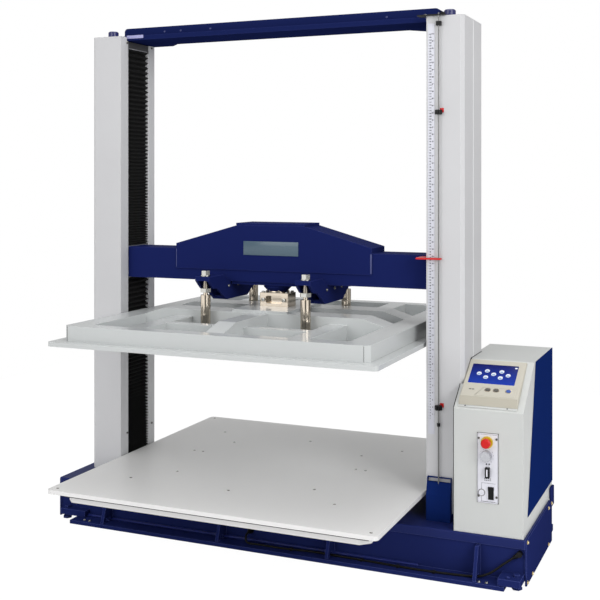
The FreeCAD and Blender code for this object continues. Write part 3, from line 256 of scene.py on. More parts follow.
grey_coat = paint("grey_powder_coat", srgb(205, 205, 207), 0.48, edge=0.003, shine=0.4,
                  wear_and_highlight=srgb(240, 240, 242))
# Near white, for the bars that stand as painted highlights on the seams and for the backing strip.
highlight_coat = paint("highlight_powder_coat", srgb(246, 246, 248), 0.35)
console_coat = paint("console_powder_coat", srgb(203, 205, 203), 0.46, edge=0.003, shine=0.4,
                     wear_and_highlight=srgb(240, 241, 240))
navy_enamel = paint("navy_enamel", srgb(27, 36, 90), 0.5, shine=0.005, wear_and_highlight=srgb(62, 70, 130))
beam_enamel = paint("crossbeam_enamel", srgb(26, 35, 82), 0.5, shine=0.0, wear_and_highlight=srgb(50, 58, 116))
base_enamel = paint("base_enamel", srgb(33, 42, 95), 0.45, clouds=0.10, shine=0.0, wear_and_highlight=srgb(88, 98, 162))
deck_enamel = paint("deck_enamel", srgb(33, 42, 95), 0.35, clouds=0.10, shine=0.06, wear_and_highlight=srgb(88, 98, 162))
platen_enamel = paint("platen_enamel", srgb(198, 201, 201), 0.24, coat=0.2, clouds=0.04,
                      wear_and_highlight=srgb(226, 230, 228))
table_enamel = paint("table_enamel", srgb(238, 237, 236), 0.34, clouds=0.03, shine=0.3)
side_enamel = paint("side_panel_enamel", srgb(19, 39, 98), 0.5, shine=0.0)
frame_grey = paint("bellows_bracket_coat", srgb(66, 66, 68), 0.45, clouds=0.06, shine=0.4)
bezel_mould = paint("bezel_moulding", srgb(196, 192, 179), 0.5, peel=0.25, clouds=0.02,
                    wear_and_highlight=srgb(236, 232, 216))
# A darker copy of the bezel moulding: painted shade on the lip and the crease.
bezel_shade = paint("bezel_painted_shade", srgb(182, 177, 163), 0.55, peel=0.25, clouds=0.02)
print("materials with the paints", len(bpy.data.materials))

# %% [markdown]
# ## Bare and plated metal
# The posts and the load cell are turned and plated, so they mirror the room. Turning leaves fine
# rings. They could be cut into the mesh, but a noise squeezed along the turning axis gives them
# without one more face. Zinc on the fasteners is duller and less warm.

# %% Metals
def lighter(colour, times):
    """The colour some times as bright, with no channel past 1."""
    return tuple(min(1.0, channel * times) for channel in colour[:3]) + (1.0,)


def metal(name, colour, gloss, grain_scale, stretch, depth=0.05):
    """A bare or plated metal: stretch squeezes its grain, and depth is the strength of its relief."""
    finish = Finish(name, metallic=1.0)
    grain = finish.noise(grain_scale, 3.0, 0.6, stretch)
    finish.set("Base Color", finish.blend(grain, colour, lighter(colour, 1.12)))
    finish.set("Roughness", grain * 0.12 + gloss)
    finish.soften(0.0008, grain, depth, 0.0003)
    return finish.material


nickel = metal("polished_nickel", srgb(190, 179, 164), 0.05, 60.0, (1.0, 1.0, 30.0), 0.02)
rod_steel = metal("oiled_rod_steel", srgb(118, 118, 118), 0.30, 60.0, (1.0, 1.0, 20.0))
zinc = metal("zinc_plate", srgb(182, 181, 176), 0.2, 260.0, (1.0, 1.0, 1.0))
ground_steel = metal("ground_steel", srgb(190, 191, 193), 0.22, 40.0, (1.0, 1.0, 20.0))
spun_alloy = metal("spun_alloy", srgb(184, 185, 190), 0.2, 90.0, (1.0, 6.0, 1.0))
print("materials with the metals", len(bpy.data.materials))

# %% [markdown]
# ## Rubber and plastics
# Bellows are rubberised cloth, with a woven grain and a faint sheen. The weave could be drawn thread
# by thread, but from here it only reads as a fine grain, so a small noise is enough. The knobs and
# buttons are moulded plastic: the paint recipe works for them too, with hardly any clouds.

# %% Rubber and plastics
weave_scale = 900.0


def rubber(name, colour, gloss):
    finish = Finish(name, sheen_weight=0.04, sheen_roughness=0.4)
    finish.shader.inputs["Specular IOR Level"].default_value = 0.2
    weave = finish.noise(weave_scale, 1.0)
    finish.set("Base Color", finish.blend(weave, colour, lighter(colour, 1.5)))
    finish.set("Roughness", weave * 0.15 + gloss)
    finish.soften(0.0006, weave, 0.3, 0.0004)
    return finish.material


bellows_cloth = rubber("bellows_cloth", srgb(9, 9, 10), 0.5)
cable_jacket = rubber("cable_jacket", srgb(12, 12, 13), 0.45)
belt_rubber = rubber("belt_rubber", srgb(20, 20, 20), 0.6)
black_mould = paint("black_moulding", srgb(13, 13, 15), 0.4, peel=0.2, clouds=0.0, edge=0.0008, shine=0.2)
blue_mould = paint("blue_moulding", srgb(40, 84, 170), 0.30, peel=0.05, clouds=0.02, coat=0.2, edge=0.001)
cap_mould = paint("cap_moulding", srgb(30, 34, 92), 0.30, peel=0.05, clouds=0.02, coat=0.2, edge=0.001)
red_mould = paint("red_moulding", srgb(205, 22, 22), 0.32, peel=0.05, clouds=0.02, coat=0.1, edge=0.001,
                  shine=0.25)
yellow_mould = paint("yellow_moulding", srgb(214, 180, 30), 0.3, peel=0.05, clouds=0.02, coat=0.3,
                     edge=0.001)
pale_label = paint("pale_label", srgb(226, 226, 234), 0.4, peel=0.02, clouds=0.01, edge=0.0003)
badge_plate = paint("badge_plate", srgb(62, 88, 104), 0.3, peel=0.02, clouds=0.06, coat=0.3, edge=0.0006)
dull_zinc = metal("dull_zinc", srgb(104, 102, 98), 0.4, 260.0, (1.0, 1.0, 1.0))
brassy_zinc = metal("yellow_zinc", srgb(214, 196, 150), 0.3, 260.0, (1.0, 1.0, 1.0))
# Lighter navy for the web fillets: a painted highlight along the bend.
lit_enamel = paint("lit_enamel", srgb(34, 44, 110), 0.3, shine=0.3)
# Paler blue: worn paint on the crossbeam's screws, and a painted highlight on the hood's end bars.
worn_and_highlight_enamel = paint("worn_and_highlight_enamel", srgb(74, 80, 128), 0.4, shine=0.3)
pale_lavender = paint("pale_lavender", srgb(160, 160, 205), 0.4, peel=0.02, clouds=0.01, edge=0.0003)
icon_white = paint("icon_white", srgb(232, 236, 244), 0.3, peel=0.0, clouds=0.02, edge=0.0002)
icon_blue = paint("icon_blue", srgb(150, 178, 214), 0.3, peel=0.0, clouds=0.02, edge=0.0002)
mark_ink = paint("mark_ink", srgb(30, 34, 48), 0.5, peel=0.0, clouds=0.0, edge=0.0002)
print("materials with the plastics", len(bpy.data.materials))

# %% [markdown]
# ## The screen and the ruler
# Both carry a pattern. The screen glows faintly blue, brighter towards its lower edge. The ruler is
# bright steel, with a tick for each centimetre and a longer one for each fifth along its left edge,
# and a tick for each inch along its right. The ticks could be modelled as bars, but there are nearly
# two hundred, and in the shader they are one sum on the height above the ruler's foot.

# %% Screen and ruler finishes
def screen_glass():
    finish = Finish("screen_glass", roughness=0.2, coat_weight=0.12, coat_roughness=0.05)
    finish.shader.inputs["Specular IOR Level"].default_value = 0.1
    low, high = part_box("display_screen")
    rise = finish.axis(2)
    share = (rise - low[2]) * (1 / (high[2] - low[2]))
    colour = finish.blend(share, srgb(20, 54, 160), srgb(6, 14, 90))
    finish.set("Base Color", colour)
    finish.set("Emission Color", colour)
    finish.set("Emission Strength", 0.12)
    return finish.material


ruler_blank = 0.045
ruler_scale = 1.38
inch = 0.0254


def ruler_steel():
    finish = Finish("ruler_steel", metallic=0.2, roughness=0.38)
    low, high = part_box("ruler")
    rise = finish.axis(2) - (low[2] + ruler_blank)
    across = (finish.axis(0) - low[0]) * (1 / (high[0] - low[0]))
    ruled = (rise > 0.0) * (rise < ruler_scale)

    def ticks(pitch, width, reach):
        """Ticks from the left edge, which reach over a share of the ruler's width."""
        return ((rise % pitch) < width) * (across < reach)
    marks = ticks(0.01, 0.0005, 0.12).maths("MAXIMUM", ticks(0.05, 0.0006, 0.16))
    inches = ((rise % inch) < 0.0006) * (across > 0.9)
    shown = marks.maths("MAXIMUM", inches) * ruled
    finish.set("Base Color", finish.blend(shown, srgb(204, 205, 214), srgb(70, 74, 90)))
    finish.soften(0.0003)
    return finish.material


screen_finish = screen_glass()
ruler_finish = ruler_steel()
print("ruler marked for", ruler_scale, "m")

# %% [markdown]
# ## Dressing the CAD pieces
# A CAD piece whose shape is right keeps its mesh and only gets a finish: modelled again, it could
# drift from the drawing. The list reads like the paint shop's own, with the nodes under the finish
# that they leave the shop in.

# %% Dress the nodes
dressing = {
    grey_coat: ("left_front_cover", "left_rear_cover", "right_front_cover", "right_rear_cover",
                "column_top_plates"),
    console_coat: ("controller_housing",),
    pale_label: ("switch_panel",),
    navy_enamel: ("crosshead_beam", "crosshead_housing", "load_cell_mount", "platen_brackets"),
    beam_enamel: ("top_crossbeam",),
    deck_enamel: ("base_deck",),
    base_enamel: ("base_beams", "base_end_panels", "foot_brackets", "column_frames", "table_supports",
                  "screw_end_plates", "levelling_feet"),
    frame_grey: ("bellows_end_brackets",),
    platen_enamel: ("upper_platen_plate", "upper_platen_frame", "platen_mount_plate"),
    table_enamel: ("table_plate", "table_frame"),
    bezel_mould: ("display_bezel",),
    nickel: ("platen_posts", "load_cell"),
    zinc: ("post_fasteners",),
    ground_steel: ("guide_rods", "left_ball_screw", "right_ball_screw", "crosshead_carriages",
                   "motor_pulley"),
    rod_steel: ("limit_rod",),
    spun_alloy: ("speed_knob",),
    belt_rubber: ("drive_belts",),
    black_mould: ("drive_motor", "limit_rod_guides", "upper_stop_knob", "lower_stop_knob",
                  "mains_connector", "power_switch", "cable_gland", "cable_clips"),
    dull_zinc: ("bezel_button_left", "bezel_button_middle"),
    cap_mould: ("guide_rod_caps",),
    side_enamel: ("controller_side_panel", "limit_switch_cover"),
    blue_mould: ("bezel_button_right",),
    red_mould: ("height_pointer", "estop_button"),
    yellow_mould: ("estop_collar",),
    screen_finish: ("display_screen",),
    ruler_finish: ("ruler",),
}
for finish, names in dressing.items():
    for name in names:
        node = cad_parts[name]
        node.data.materials.clear()
        node.data.materials.append(finish)
print("dressed", sum(len(names) for names in dressing.values()), "of", len(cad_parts), "nodes")

# %% [markdown]
# ## Modelling by hand, in code
# New pieces start as primitives, and edit mode or a modifier that is then applied gives them their
# shape. A mesh could also be written as a list of points, but these steps can be followed one by one
# in Blender's own window. An operator acts on everything that is selected, so each helper deselects
# first and then picks what it needs.

# %% Modelling helpers
def start(add, name, **options):
    """Add a primitive with nothing else selected, and name it."""
    bpy.ops.object.select_all(action="DESELECT")
    add(**options)
    piece = bpy.context.active_object
    piece.name = name
    piece.data.name = name
    return piece


def only(piece):
    """Select just this piece and make it the active one."""
    bpy.ops.object.select_all(action="DESELECT")
    piece.select_set(True)
    bpy.context.view_layer.objects.active = piece


def settle(piece):
    """Apply the piece's place, turn and scale to its mesh."""
    only(piece)
    bpy.ops.object.transform_apply(location=True, rotation=True, scale=True)
    return piece


def cuboid(name, low, high):
    """A box between two corners in metres."""
    centre = (Vector(low) + Vector(high)) / 2
    piece = start(bpy.ops.mesh.primitive_cube_add, name, size=1, location=centre)
    piece.scale = Vector(high) - Vector(low)
    return settle(piece)


def disc(name, centre, radius, depth, direction=(0, 0, 1), sides=32):
    """A cylinder that grows from its centre in a direction."""
    piece = start(bpy.ops.mesh.primitive_cylinder_add, name, vertices=sides, radius=radius, depth=depth)
    piece.rotation_mode = "QUATERNION"
    piece.rotation_quaternion = Vector((0, 0, 1)).rotation_difference(Vector(direction))
    piece.location = Vector(centre) + Vector(direction).normalized() * (depth / 2)
    return settle(piece)


def pick_faces(piece, test):
    """Enter edit mode with just the faces that pass test(centre, normal) selected."""
    only(piece)
    bpy.ops.object.mode_set(mode="EDIT")
    bpy.ops.mesh.select_mode(type="FACE")
    bpy.ops.mesh.select_all(action="DESELECT")
    mesh = bmesh.from_edit_mesh(piece.data)
    for face in mesh.faces:
        face.select_set(test(face.calc_center_median(), face.normal))
    bmesh.update_edit_mesh(piece.data)


def leave_edit():
    bpy.ops.object.mode_set(mode="OBJECT")


def modify(piece, kind, **settings):
    """Add a modifier and apply it."""
    only(piece)
    modifier = piece.modifiers.new(kind.lower(), kind)
    for key, value in settings.items():
        setattr(modifier, key, value)
    bpy.ops.object.modifier_apply(modifier=modifier.name)
    return piece


def bevelled(piece, width, segments=2):
    return modify(piece, "BEVEL", width=width, segments=segments, limit_method="ANGLE",
                  harden_normals=False)


def merged(name, pieces):
    """Join pieces into the first of them, under a new name."""
    only(pieces[0])
    for piece in pieces[1:]:
        piece.select_set(True)
    if len(pieces) > 1:
        bpy.ops.object.join()
    pieces[0].name = name
    pieces[0].data.name = name
    return pieces[0]


smooth_below = math.radians(35)


def finished(piece, body, finish):
    """Settle a piece, smooth its shading, give it its finish and say which body it rides on."""
    settle(piece)
    bpy.ops.object.shade_smooth_by_angle(angle=smooth_below)
    piece.data.materials.clear()
    piece.data.materials.append(finish)
    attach(piece, body)
    return piece


# %% [markdown]
# ## Bellows
# Two rubber-cloth bellows close the slot in each column, one above the crosshead and one below it.
# The folds could be stripes on a flat strip, but their tips show as teeth against the cover, so they
# are real. Cloth hangs by its own weight, and its folds lie close at the bottom and open towards the
# top: one edge is extruded fold by fold, each a little taller than the last, and Solidify gives the
# cloth its thickness. The strip fills the space between the frame and the crosshead.

# %% Fold the bellows
fold_count = 54
fold_growth = 2.3
fold_tip = 639.0
fold_depth = 17.0
cloth_share = 0.98
cloth_thickness = 0.0012
start_width = 0.02


def fold_heights(low, high):
    """Heights of the folds, whose pitch grows evenly to fold_growth times the lowest."""
    pitches = [fold_growth ** (step / (fold_count - 1)) for step in range(fold_count)]
    pitch_unit = (high - low) / sum(pitches)
    return [pitch * pitch_unit for pitch in pitches]


def bellows_strip(name, side, low, high):
    """The folded cloth of one column, grown upwards from one edge of a plane."""
    tip = load_axis + side * fold_tip * MM
    piece = start(bpy.ops.mesh.primitive_plane_add, name, size=1)
    piece.scale = (start_width, (high[1] - low[1]) * cloth_share, 1)
    piece.location = (tip + start_width / 2, (low[1] + high[1]) / 2, low[2])
    settle(piece)
    bpy.ops.object.mode_set(mode="EDIT")
    bpy.ops.mesh.select_mode(type="VERT")
    bpy.ops.mesh.select_all(action="DESELECT")
    mesh = bmesh.from_edit_mesh(piece.data)
    for vert in mesh.verts:
        vert.select_set(vert.co.x > tip + start_width / 4)
    bmesh.update_edit_mesh(piece.data)
    bpy.ops.mesh.delete(type="VERT")
    bpy.ops.mesh.select_all(action="SELECT")
    deep = side * fold_depth * MM
    for height in fold_heights(low[2], high[2]):
        for step in (deep, -deep):
            bpy.ops.mesh.extrude_region_move(TRANSFORM_OT_translate={"value": (step, 0, height / 2)})
    bpy.ops.mesh.select_all(action="SELECT")
    bpy.ops.mesh.normals_make_consistent(inside=False)
    leave_edit()
    modify(piece, "SOLIDIFY", thickness=cloth_thickness, offset=0)
    return piece


def bellows(name, node):
    """Both columns' strips as one piece, which fills the space between the frame and the crosshead."""
    low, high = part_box(node)
    piece = merged(name, [bellows_strip(name + "_side", side, low, high) for side in (-1, 1)])
    piece.data.materials.append(bellows_cloth)
    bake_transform(piece)
    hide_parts(node)


bellows("upper_bellows_cloth", "upper_bellows")
bellows("lower_bellows_cloth", "lower_bellows")
print("bellows folds", fold_count, "each")

# %% [markdown]
# ## The sensor cable
# A thin black lead leaves the base in front of the load axis, drops over the flange and runs along
# it in long lazy waves between its clips, then rises to a plug in the right end. Straight tubes with
# rounded corners would look like bent wire. It is a free cord, so it is one NURBS spline with the
# places of the CAD's route as its control points, and a round bevel.

# %% Lay the sensor lead
cable_points = (
    (-7, -243, 50), (-7, -258, 49), (-6, -271, 41), (-2, -276, 28), (8, -273.5, 19.5), (30, -267, 18.5),
    (75, -265.5, 18.3), (140, -269.5, 18.4), (255, -253, 18.3), (370, -260.5, 18.4), (485, -263, 18.3),
    (600, -270.5, 18.4), (715, -270.5, 18.3), (800, -262, 18.4), (858, -256.5, 19.5), (893, -248.5, 33),
    (922, -240, 55), (946, -234.5, 74.5), (968, -233, 90.5))
cable_radius = 0.004

curve = bpy.data.curves.new("sensor_lead", "CURVE")
curve.dimensions = "3D"
curve.bevel_depth = cable_radius
curve.bevel_resolution = 4
curve.resolution_u = 12
curve.use_fill_caps = True
spline = curve.splines.new("NURBS")
spline.points.add(len(cable_points) - 1)
for place, point in zip(cable_points, spline.points):
    point.co = (*at(*place), 1.0)
spline.order_u = 3
spline.use_endpoint_u = True
sensor_lead = bpy.data.objects.new("sensor_lead", curve)
bpy.context.scene.collection.objects.link(sensor_lead)
curve.materials.append(cable_jacket)
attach(sensor_lead, "machine_frame")
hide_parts("sensor_cable")
at(*cable_points[0])

# %% [markdown]
# ## Screws
# Screws hold the covers, the table and the ends. Each could be modelled in its place, but they are
# all of three kinds, so each kind is modelled once at the origin, facing up: a socket head with its
# hexagon sunk in, a hexagon bolt on a washer, and a flat head for the table. A helper plants copies
# of a pattern, turned to face out of their surface, and joins them into one piece.

# %% Screw patterns
def head(name, radius, height, socket, depth, sides=24):
    """A screw head with a hexagonal socket, modelled on the floor at the origin."""
    piece = disc(name, (0, 0, 0), radius, height, sides=sides)
    bevelled(piece, min(radius, height) * 0.18, 2)
    hexagon = disc(name + "_socket", (0, 0, height - depth), socket, depth * 2, sides=6)
    modify(piece, "BOOLEAN", object=hexagon, operation="DIFFERENCE", solver="EXACT")
    bpy.data.objects.remove(hexagon)
    return piece


def hexagon_bolt(name, radius, height):
    """A hexagon head with a chamfered crown, on a round washer."""
    crown = disc(name, (0, 0, height * 0.25), radius, height * 0.75, sides=6)
    bevelled(crown, height * 0.1, 1)
    washer = disc(name + "_washer", (0, 0, 0), radius * 1.25, height * 0.25)
    bevelled(washer, height * 0.06, 1)
    return merged(name, [crown, washer])


socket_head = head("socket_head_pattern", 0.005, 0.005, 0.0026, 0.003)
flat_head = head("flat_head_pattern", 0.009, 0.0012, 0.0042, 0.0010, 32)
hex_head = hexagon_bolt("hexagon_head_pattern", 0.006, 0.005)
patterns = [socket_head, flat_head, hex_head]
both_sides = ((-1, "left"), (1, "right"))


def planted(pattern, name, places, direction=(0, -1, 0), size=1.0):
    """Copies of a pattern at places in millimetres, facing a direction, joined into one piece."""
    copies = []
    turn = Vector((0, 0, 1)).rotation_difference(Vector(direction))
    for place in places:
        copy = pattern.copy()
        copy.data = pattern.data.copy()
        bpy.context.scene.collection.objects.link(copy)
        copy.rotation_mode = "QUATERNION"
        copy.rotation_quaternion = turn
        copy.location = at(*place)
        copy.scale = (size, size, size)
        copies.append(settle(copy))
    return merged(name, copies)


def screws(pattern, name, body, finish, places, direction=(0, -1, 0), size=1.0):
    return finished(planted(pattern, name, places, direction, size), body, finish)


def mirrored(places):
    """Each place and its twin behind the load axis."""
    return [*places, *((x, -y, z) for x, y, z in places)]


print("screw patterns", len(patterns))

# %% [markdown]
# ## Where the screws go
# The places are in millimetres from the load axis, in the rows that the photograph shows; those on
# the back follow the same habit. A height or a face is read from the node that the screws sit on
# wherever its box gives it.

# %% Table, crossbeam and end screws
table_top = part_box("table_plate")[1][2] / MM
table_places = mirrored([(-429, -381, table_top), (-312, -239, table_top), (-21, -380, table_top),
                         (257, -247, table_top), (386, -378, table_top), (597, -600, table_top),
                         (-597, -600, table_top)])
screws(flat_head, "table_screws", "machine_frame", zinc, table_places, (0, 0, 1), 0.6)
slot_places = [(-402, 57, table_top), (-362, 55, table_top), (304, 56, table_top), (344, 53, table_top)]
screws(flat_head, "table_dowels", "machine_frame", zinc, slot_places, (0, 0, 1), 0.6)
print("table screws", len(table_places) + len(slot_places))

crossbeam_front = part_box("top_crossbeam")[0][1] / MM
screws(socket_head, "crossbeam_screws", "machine_frame", worn_and_highlight_enamel,
       [(x, crossbeam_front, 1945) for x in (-461, -387, -254, 475)], size=0.7)

end_places = [(-216, 143), (180, 143), (-128, 10), (244, 143), (-216, 10), (180, 10)]
for name, corner, direction in (("right", 1, (1, 0, 0)), ("left", 0, (-1, 0, 0))):
    end_face = (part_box("base_end_panels")[corner][0] - load_axis) / MM
    screws(hex_head, name + "_end_screws", "machine_frame", brassy_zinc,
           [(end_face, y, z) for y, z in end_places], direction, 0.9)

# %% Base and switch panel screws
flange_top = 14.0
anchor_places = [(x, y, flange_top) for x, y in ((-706, -279), (-681, -281), (865, -285), (891, -285))]
screws(hex_head, "flange_bolts", "machine_frame", zinc, mirrored(anchor_places), (0, 0, 1),
       0.9)

foot_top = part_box("foot_brackets")[1][2] / MM
screws(socket_head, "foot_block_screws", "machine_frame", base_enamel,
       [(984, -258, foot_top), (962, -285, foot_top), (984, 287, foot_top)], (0, 0, 1), 1.2)

panel_low, panel_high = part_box("switch_panel")
panel_left = (panel_low[0] - load_axis) / MM
panel_right = (panel_high[0] - load_axis) / MM
label_face = -225.0
panel_places = [(x, label_face, z) for x in (panel_left + 5, panel_right - 5) for z in (478, 283)]
screws(socket_head, "panel_screws", "machine_frame", dull_zinc, panel_places, size=0.75)
print("switch panel from", round(panel_left, 1), "to", round(panel_right, 1), "mm")

# %% Cover, console and hood screws
for side, name in both_sides:
    screws(socket_head, "lip_screws_" + name, "machine_frame", dull_zinc,
           [(side * 638, y, z) for y in (-83, 106) for z in (320, 1908)], (-side, 0, 0), 0.8)
rear_heights = (210, 620, 1050, 1480, 1900)
rear_places = [(side * x, 130, z) for side, name in both_sides for x in (658, 754) for z in rear_heights]
screws(socket_head, "rear_cover_screws", "machine_frame", zinc, rear_places, (0, 1, 0), 0.8)
console_places = [(x, 325, z) for x in (780, 980) for z in (175, 430, 690)]
screws(socket_head, "console_rear_screws", "machine_frame", zinc, console_places, (0, 1, 0),
       0.9)
for side, name in both_sides:
    screws(socket_head, "hood_screws_" + name, "crosshead", zinc,
           [(side * 413, y, 1040) for y in (-45, 45)], (side, 0, 0), 0.8)

# %% [markdown]
# ## Plates, labels and marks
# A bare badge plate stands on the hood and a thin pale lavender plate on the crossbeam: thin plates
# with rounded edges and nothing on them. A dark rim runs round the switch panel, and printed lines
# frame the whole panel and the mains switch, and stand round the speed dial. The lines could be a
# pattern in the shader, but each has its own place, so low bars are simpler to set and to change.

# %% Badge plate, label and panel rim
def thin_plate(name, low, high, corner, finish, body):
    """A thin plate between two corners given in millimetres, its edges rounded."""
    piece = cuboid(name, at(*low), at(*high))
    bevelled(piece, corner * MM, 3)
    return finished(piece, body, finish)


hood_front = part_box("crosshead_housing")[0][1] / MM
thin_plate("hood_badge_plate", (-113, hood_front - 1.6, 1059), (119, hood_front, 1113), 0.7,
           badge_plate, "crosshead")
thin_plate("crossbeam_pale_plate", (-640, crossbeam_front - 0.8, 1925), (-562, crossbeam_front, 1938), 0.3,
           pale_lavender, "machine_frame")


def printed(name, bars, finish):
    """Flat marks on the switch panel's face, as low bars joined into one piece."""
    pieces = [cuboid(name, at(x_low, label_face - 0.15, z_low), at(x_high, label_face + 0.05, z_high))
              for x_low, x_high, z_low, z_high in bars]
    return finished(merged(name, pieces), "machine_frame", finish)


rim = 1.3
rim_front, rim_back = -222.4, -220.9
panel_foot, panel_head = panel_low[2] / MM, panel_high[2] / MM
rim_strips = [(panel_left - rim, panel_left + rim, panel_foot - rim, panel_head + rim),
              (panel_right - rim, panel_right + rim, panel_foot - rim, panel_head + rim),
              (panel_left, panel_right, panel_foot - rim, panel_foot + rim),
              (panel_left, panel_right, panel_head - rim, panel_head + rim)]
strips = [cuboid("panel_rim", at(x_low, rim_front, z_low), at(x_high, rim_back, z_high))
          for x_low, x_high, z_low, z_high in rim_strips]
finished(merged("panel_rim", strips), "machine_frame", dull_zinc)
print("panel rim", rim, "mm wide")

# %% Panel marks
border = 1.2
line_width = 0.8
line_foot, line_head = 264, 491
marks_left, marks_right = panel_left + border, panel_right - border
switch_left, switch_right = panel_left + 14, panel_left + 62
panel_marks = [(marks_left, marks_right, z, z + line_width) for z in (line_foot, line_head)]
panel_marks += [(x, x + line_width, line_foot, line_head + line_width)
                for x in (marks_left, marks_right - line_width)]
panel_marks += [(switch_left, switch_right, 327, 327.8), (switch_left, switch_right, 265.6, 266.4),
                (switch_left, switch_left + line_width, 306, 327.8),
                (switch_left, switch_left + line_width, 266, 284)]
panel_marks += [(panel_left + 24 + step, panel_left + 28 + step, z, z + 2.6)
                for step in (0, 6, 12, 18) for z in (336, 341.5)]
panel_marks += [(panel_left + 29 + step, panel_left + 34 + step, 389, 394.5) for step in (0, 9)]
printed("panel_marks", panel_marks, mark_ink)
print("panel marks", len(panel_marks))

# %% Dial marks
dial_x, dial_z = panel_left + 32, 420.0
dial_marks = []
for count in range(11):
    turn = math.radians(-140 + 28 * count)
    reach = 23.5 if count % 5 else 24.5
    x = dial_x + reach * math.sin(turn)
    z = dial_z + reach * math.cos(turn)
    dial_marks.append((x - 0.5, x + 0.5, z - 1.2, z + 1.2))
printed("dial_marks", dial_marks, mark_ink)
print("dial marks", len(dial_marks))

# %% [markdown]
# ## Numbers on the ruler
# A steel rule carries a number for each centimetre on its left and for each inch on its right. Each
# could be a text object of its own, but one with a number to a line, and the line spacing set to
# the pitch, gives a whole column at once. It is made a mesh before it is moved to its place.

# %% Ruler numbers
number_relief = 0.00004
ruler_low, ruler_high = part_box("ruler")
ruler_zero = ruler_low[2] + ruler_blank
ruler_wide = ruler_high[0] - ruler_low[0]


def number_column(name, count, pitch, size, left):
    """The numbers 1 to count up the ruler, each centred at its own height."""
    piece = start(bpy.ops.object.text_add, name)
    text = piece.data
    text.body = "\n".join(str(count - line) for line in range(count))
    text.size = size
    text.space_line = pitch / size
    text.align_x = "CENTER"
    text.extrude = number_relief
    text.resolution_u = 2
    text.offset = 0.0003
    bpy.ops.object.convert(target="MESH")
    piece = bpy.context.active_object
    piece.rotation_euler = (math.radians(90), 0, 0)
    piece.location = (left, ruler_low[1] - number_relief, ruler_zero + pitch * count - size * 0.35)
    return finished(piece, "machine_frame", mark_ink)


number_column("ruler_centimetres", 137, 0.01, 0.0058, ruler_low[0] + ruler_wide * 0.36)
number_column("ruler_inches", 54, inch, 0.0066, ruler_low[0] + ruler_wide * 0.72)
print("ruler zero at", round(ruler_zero, 4))

# %% [markdown]
# ## The display's face
# The display is a moulding on the console's slope, with icons under the glass and three keys in
# rings. Each piece could be turned as it is made, but tilted numbers are hard to read, so all are
# modelled flat at the origin and carried to their place by a matrix: one for the console's slope,
# and one that takes off the bezel's wedge.

# %% Tilted face and icons
slope_rise, slope_run = 140, 194
slope_length = math.hypot(slope_rise, slope_run)
console_slope = math.atan2(slope_rise, slope_run)
bezel_wedge = math.atan2(11, 183)
slope_foot = at(0, -221, 571)
bezel_foot = (0, 0.045, 0.018)
slope_matrix = Matrix.Translation(slope_foot) @ Matrix.Rotation(console_slope, 4, "X")
face_matrix = slope_matrix @ Matrix.Translation(bezel_foot) @ Matrix.Rotation(-bezel_wedge, 4, "X")


def on_face(piece, matrix, finish):
    """Carry a piece from the origin to its tilted face, and finish it."""
    piece.matrix_world = matrix @ piece.matrix_world
    return finished(piece, "machine_frame", finish)


def sheet(name, corners, thickness):
    """A plane through four corners in millimetres, near pair first, made thick upwards."""
    piece = start(bpy.ops.mesh.primitive_plane_add, name, size=1)
    for vert, corner in zip(piece.data.vertices, corners):
        vert.co = [measure * MM for measure in corner]
    return modify(piece, "SOLIDIFY", thickness=thickness, offset=1)


def pill(name, x, up, radius, half, low, high, edges=24):
    """A flat stadium across the face, from one height to another, in millimetres."""
    piece = disc(name, (0, 0, low * MM), radius * MM, (high - low) * MM, sides=edges)
    for vert in piece.data.vertices:
        if abs(vert.co.x) > 1e-6:
            vert.co.x += math.copysign(half * MM, vert.co.x)
    piece.location = (x * MM, up * MM, 0)
    return settle(piece)


glass_level = -1.5
icon_places = ((821, 115), (847, 130), (847, 98), (872, 115), (898, 130), (898, 99), (923, 113))
icon_discs = []
icon_cores = []
for x, up in icon_places:
    icon = pill("icon", x, up, 8.6, 0, glass_level, glass_level + 0.25)
    bevelled(icon, 0.0001, 1)
    icon_discs.append(icon)
    icon_cores.append(pill("icon_core", x, up - 2.5, 4.2, 1.6, glass_level + 0.2, glass_level + 0.32, 12))
corner_icon = pill("icon", 945, 152, 3.4, 1.5, glass_level, glass_level + 0.2, 16)
icons = merged("screen_icons", [*icon_discs, corner_icon])
on_face(icons, face_matrix, icon_white)
on_face(merged("screen_icon_cores", icon_cores), face_matrix, icon_blue)
print("round icons", len(icon_places))

# %% Key rings
button_up = 33
button_centres = {"left": 867, "middle": 896, "right": 939}


def button_ring(name, x):
    """A thin bright ring round a key: a pill whose top is opened by an inset."""
    ring = pill(name, x, button_up, 9.0, 2, -0.2, 1.6, 32)
    pick_faces(ring, lambda centre, normal: normal.z > 0.9)
    bpy.ops.mesh.inset(thickness=0.0022)
    bpy.ops.mesh.delete(type="FACE")
    leave_edit()
    pick_faces(ring, lambda centre, normal: normal.z < -0.9)
    bpy.ops.mesh.delete(type="FACE")
    leave_edit()
    modify(ring, "SOLIDIFY", thickness=0.0003, offset=0)
    return on_face(ring, face_matrix, nickel)


for side, x in button_centres.items():
    button_ring("button_ring_" + side, x)
print("key rings", len(button_centres))

# %% [markdown]
# ## The keys' field and the display's foot
# The keys sit in a raised field with a slanted left edge, and a crease follows that edge. Under it
# the moulding ends in a sloping lip, and a foot plate with two screws carries the display. All could
# be cut into the moulding's own mesh, but that comes from the CAD and isn't changed, so each is a
# thin sheet or bar laid on its face. The crease and the lip are painted in a darker copy of the
# moulding: painted shade, where they face away from the light.

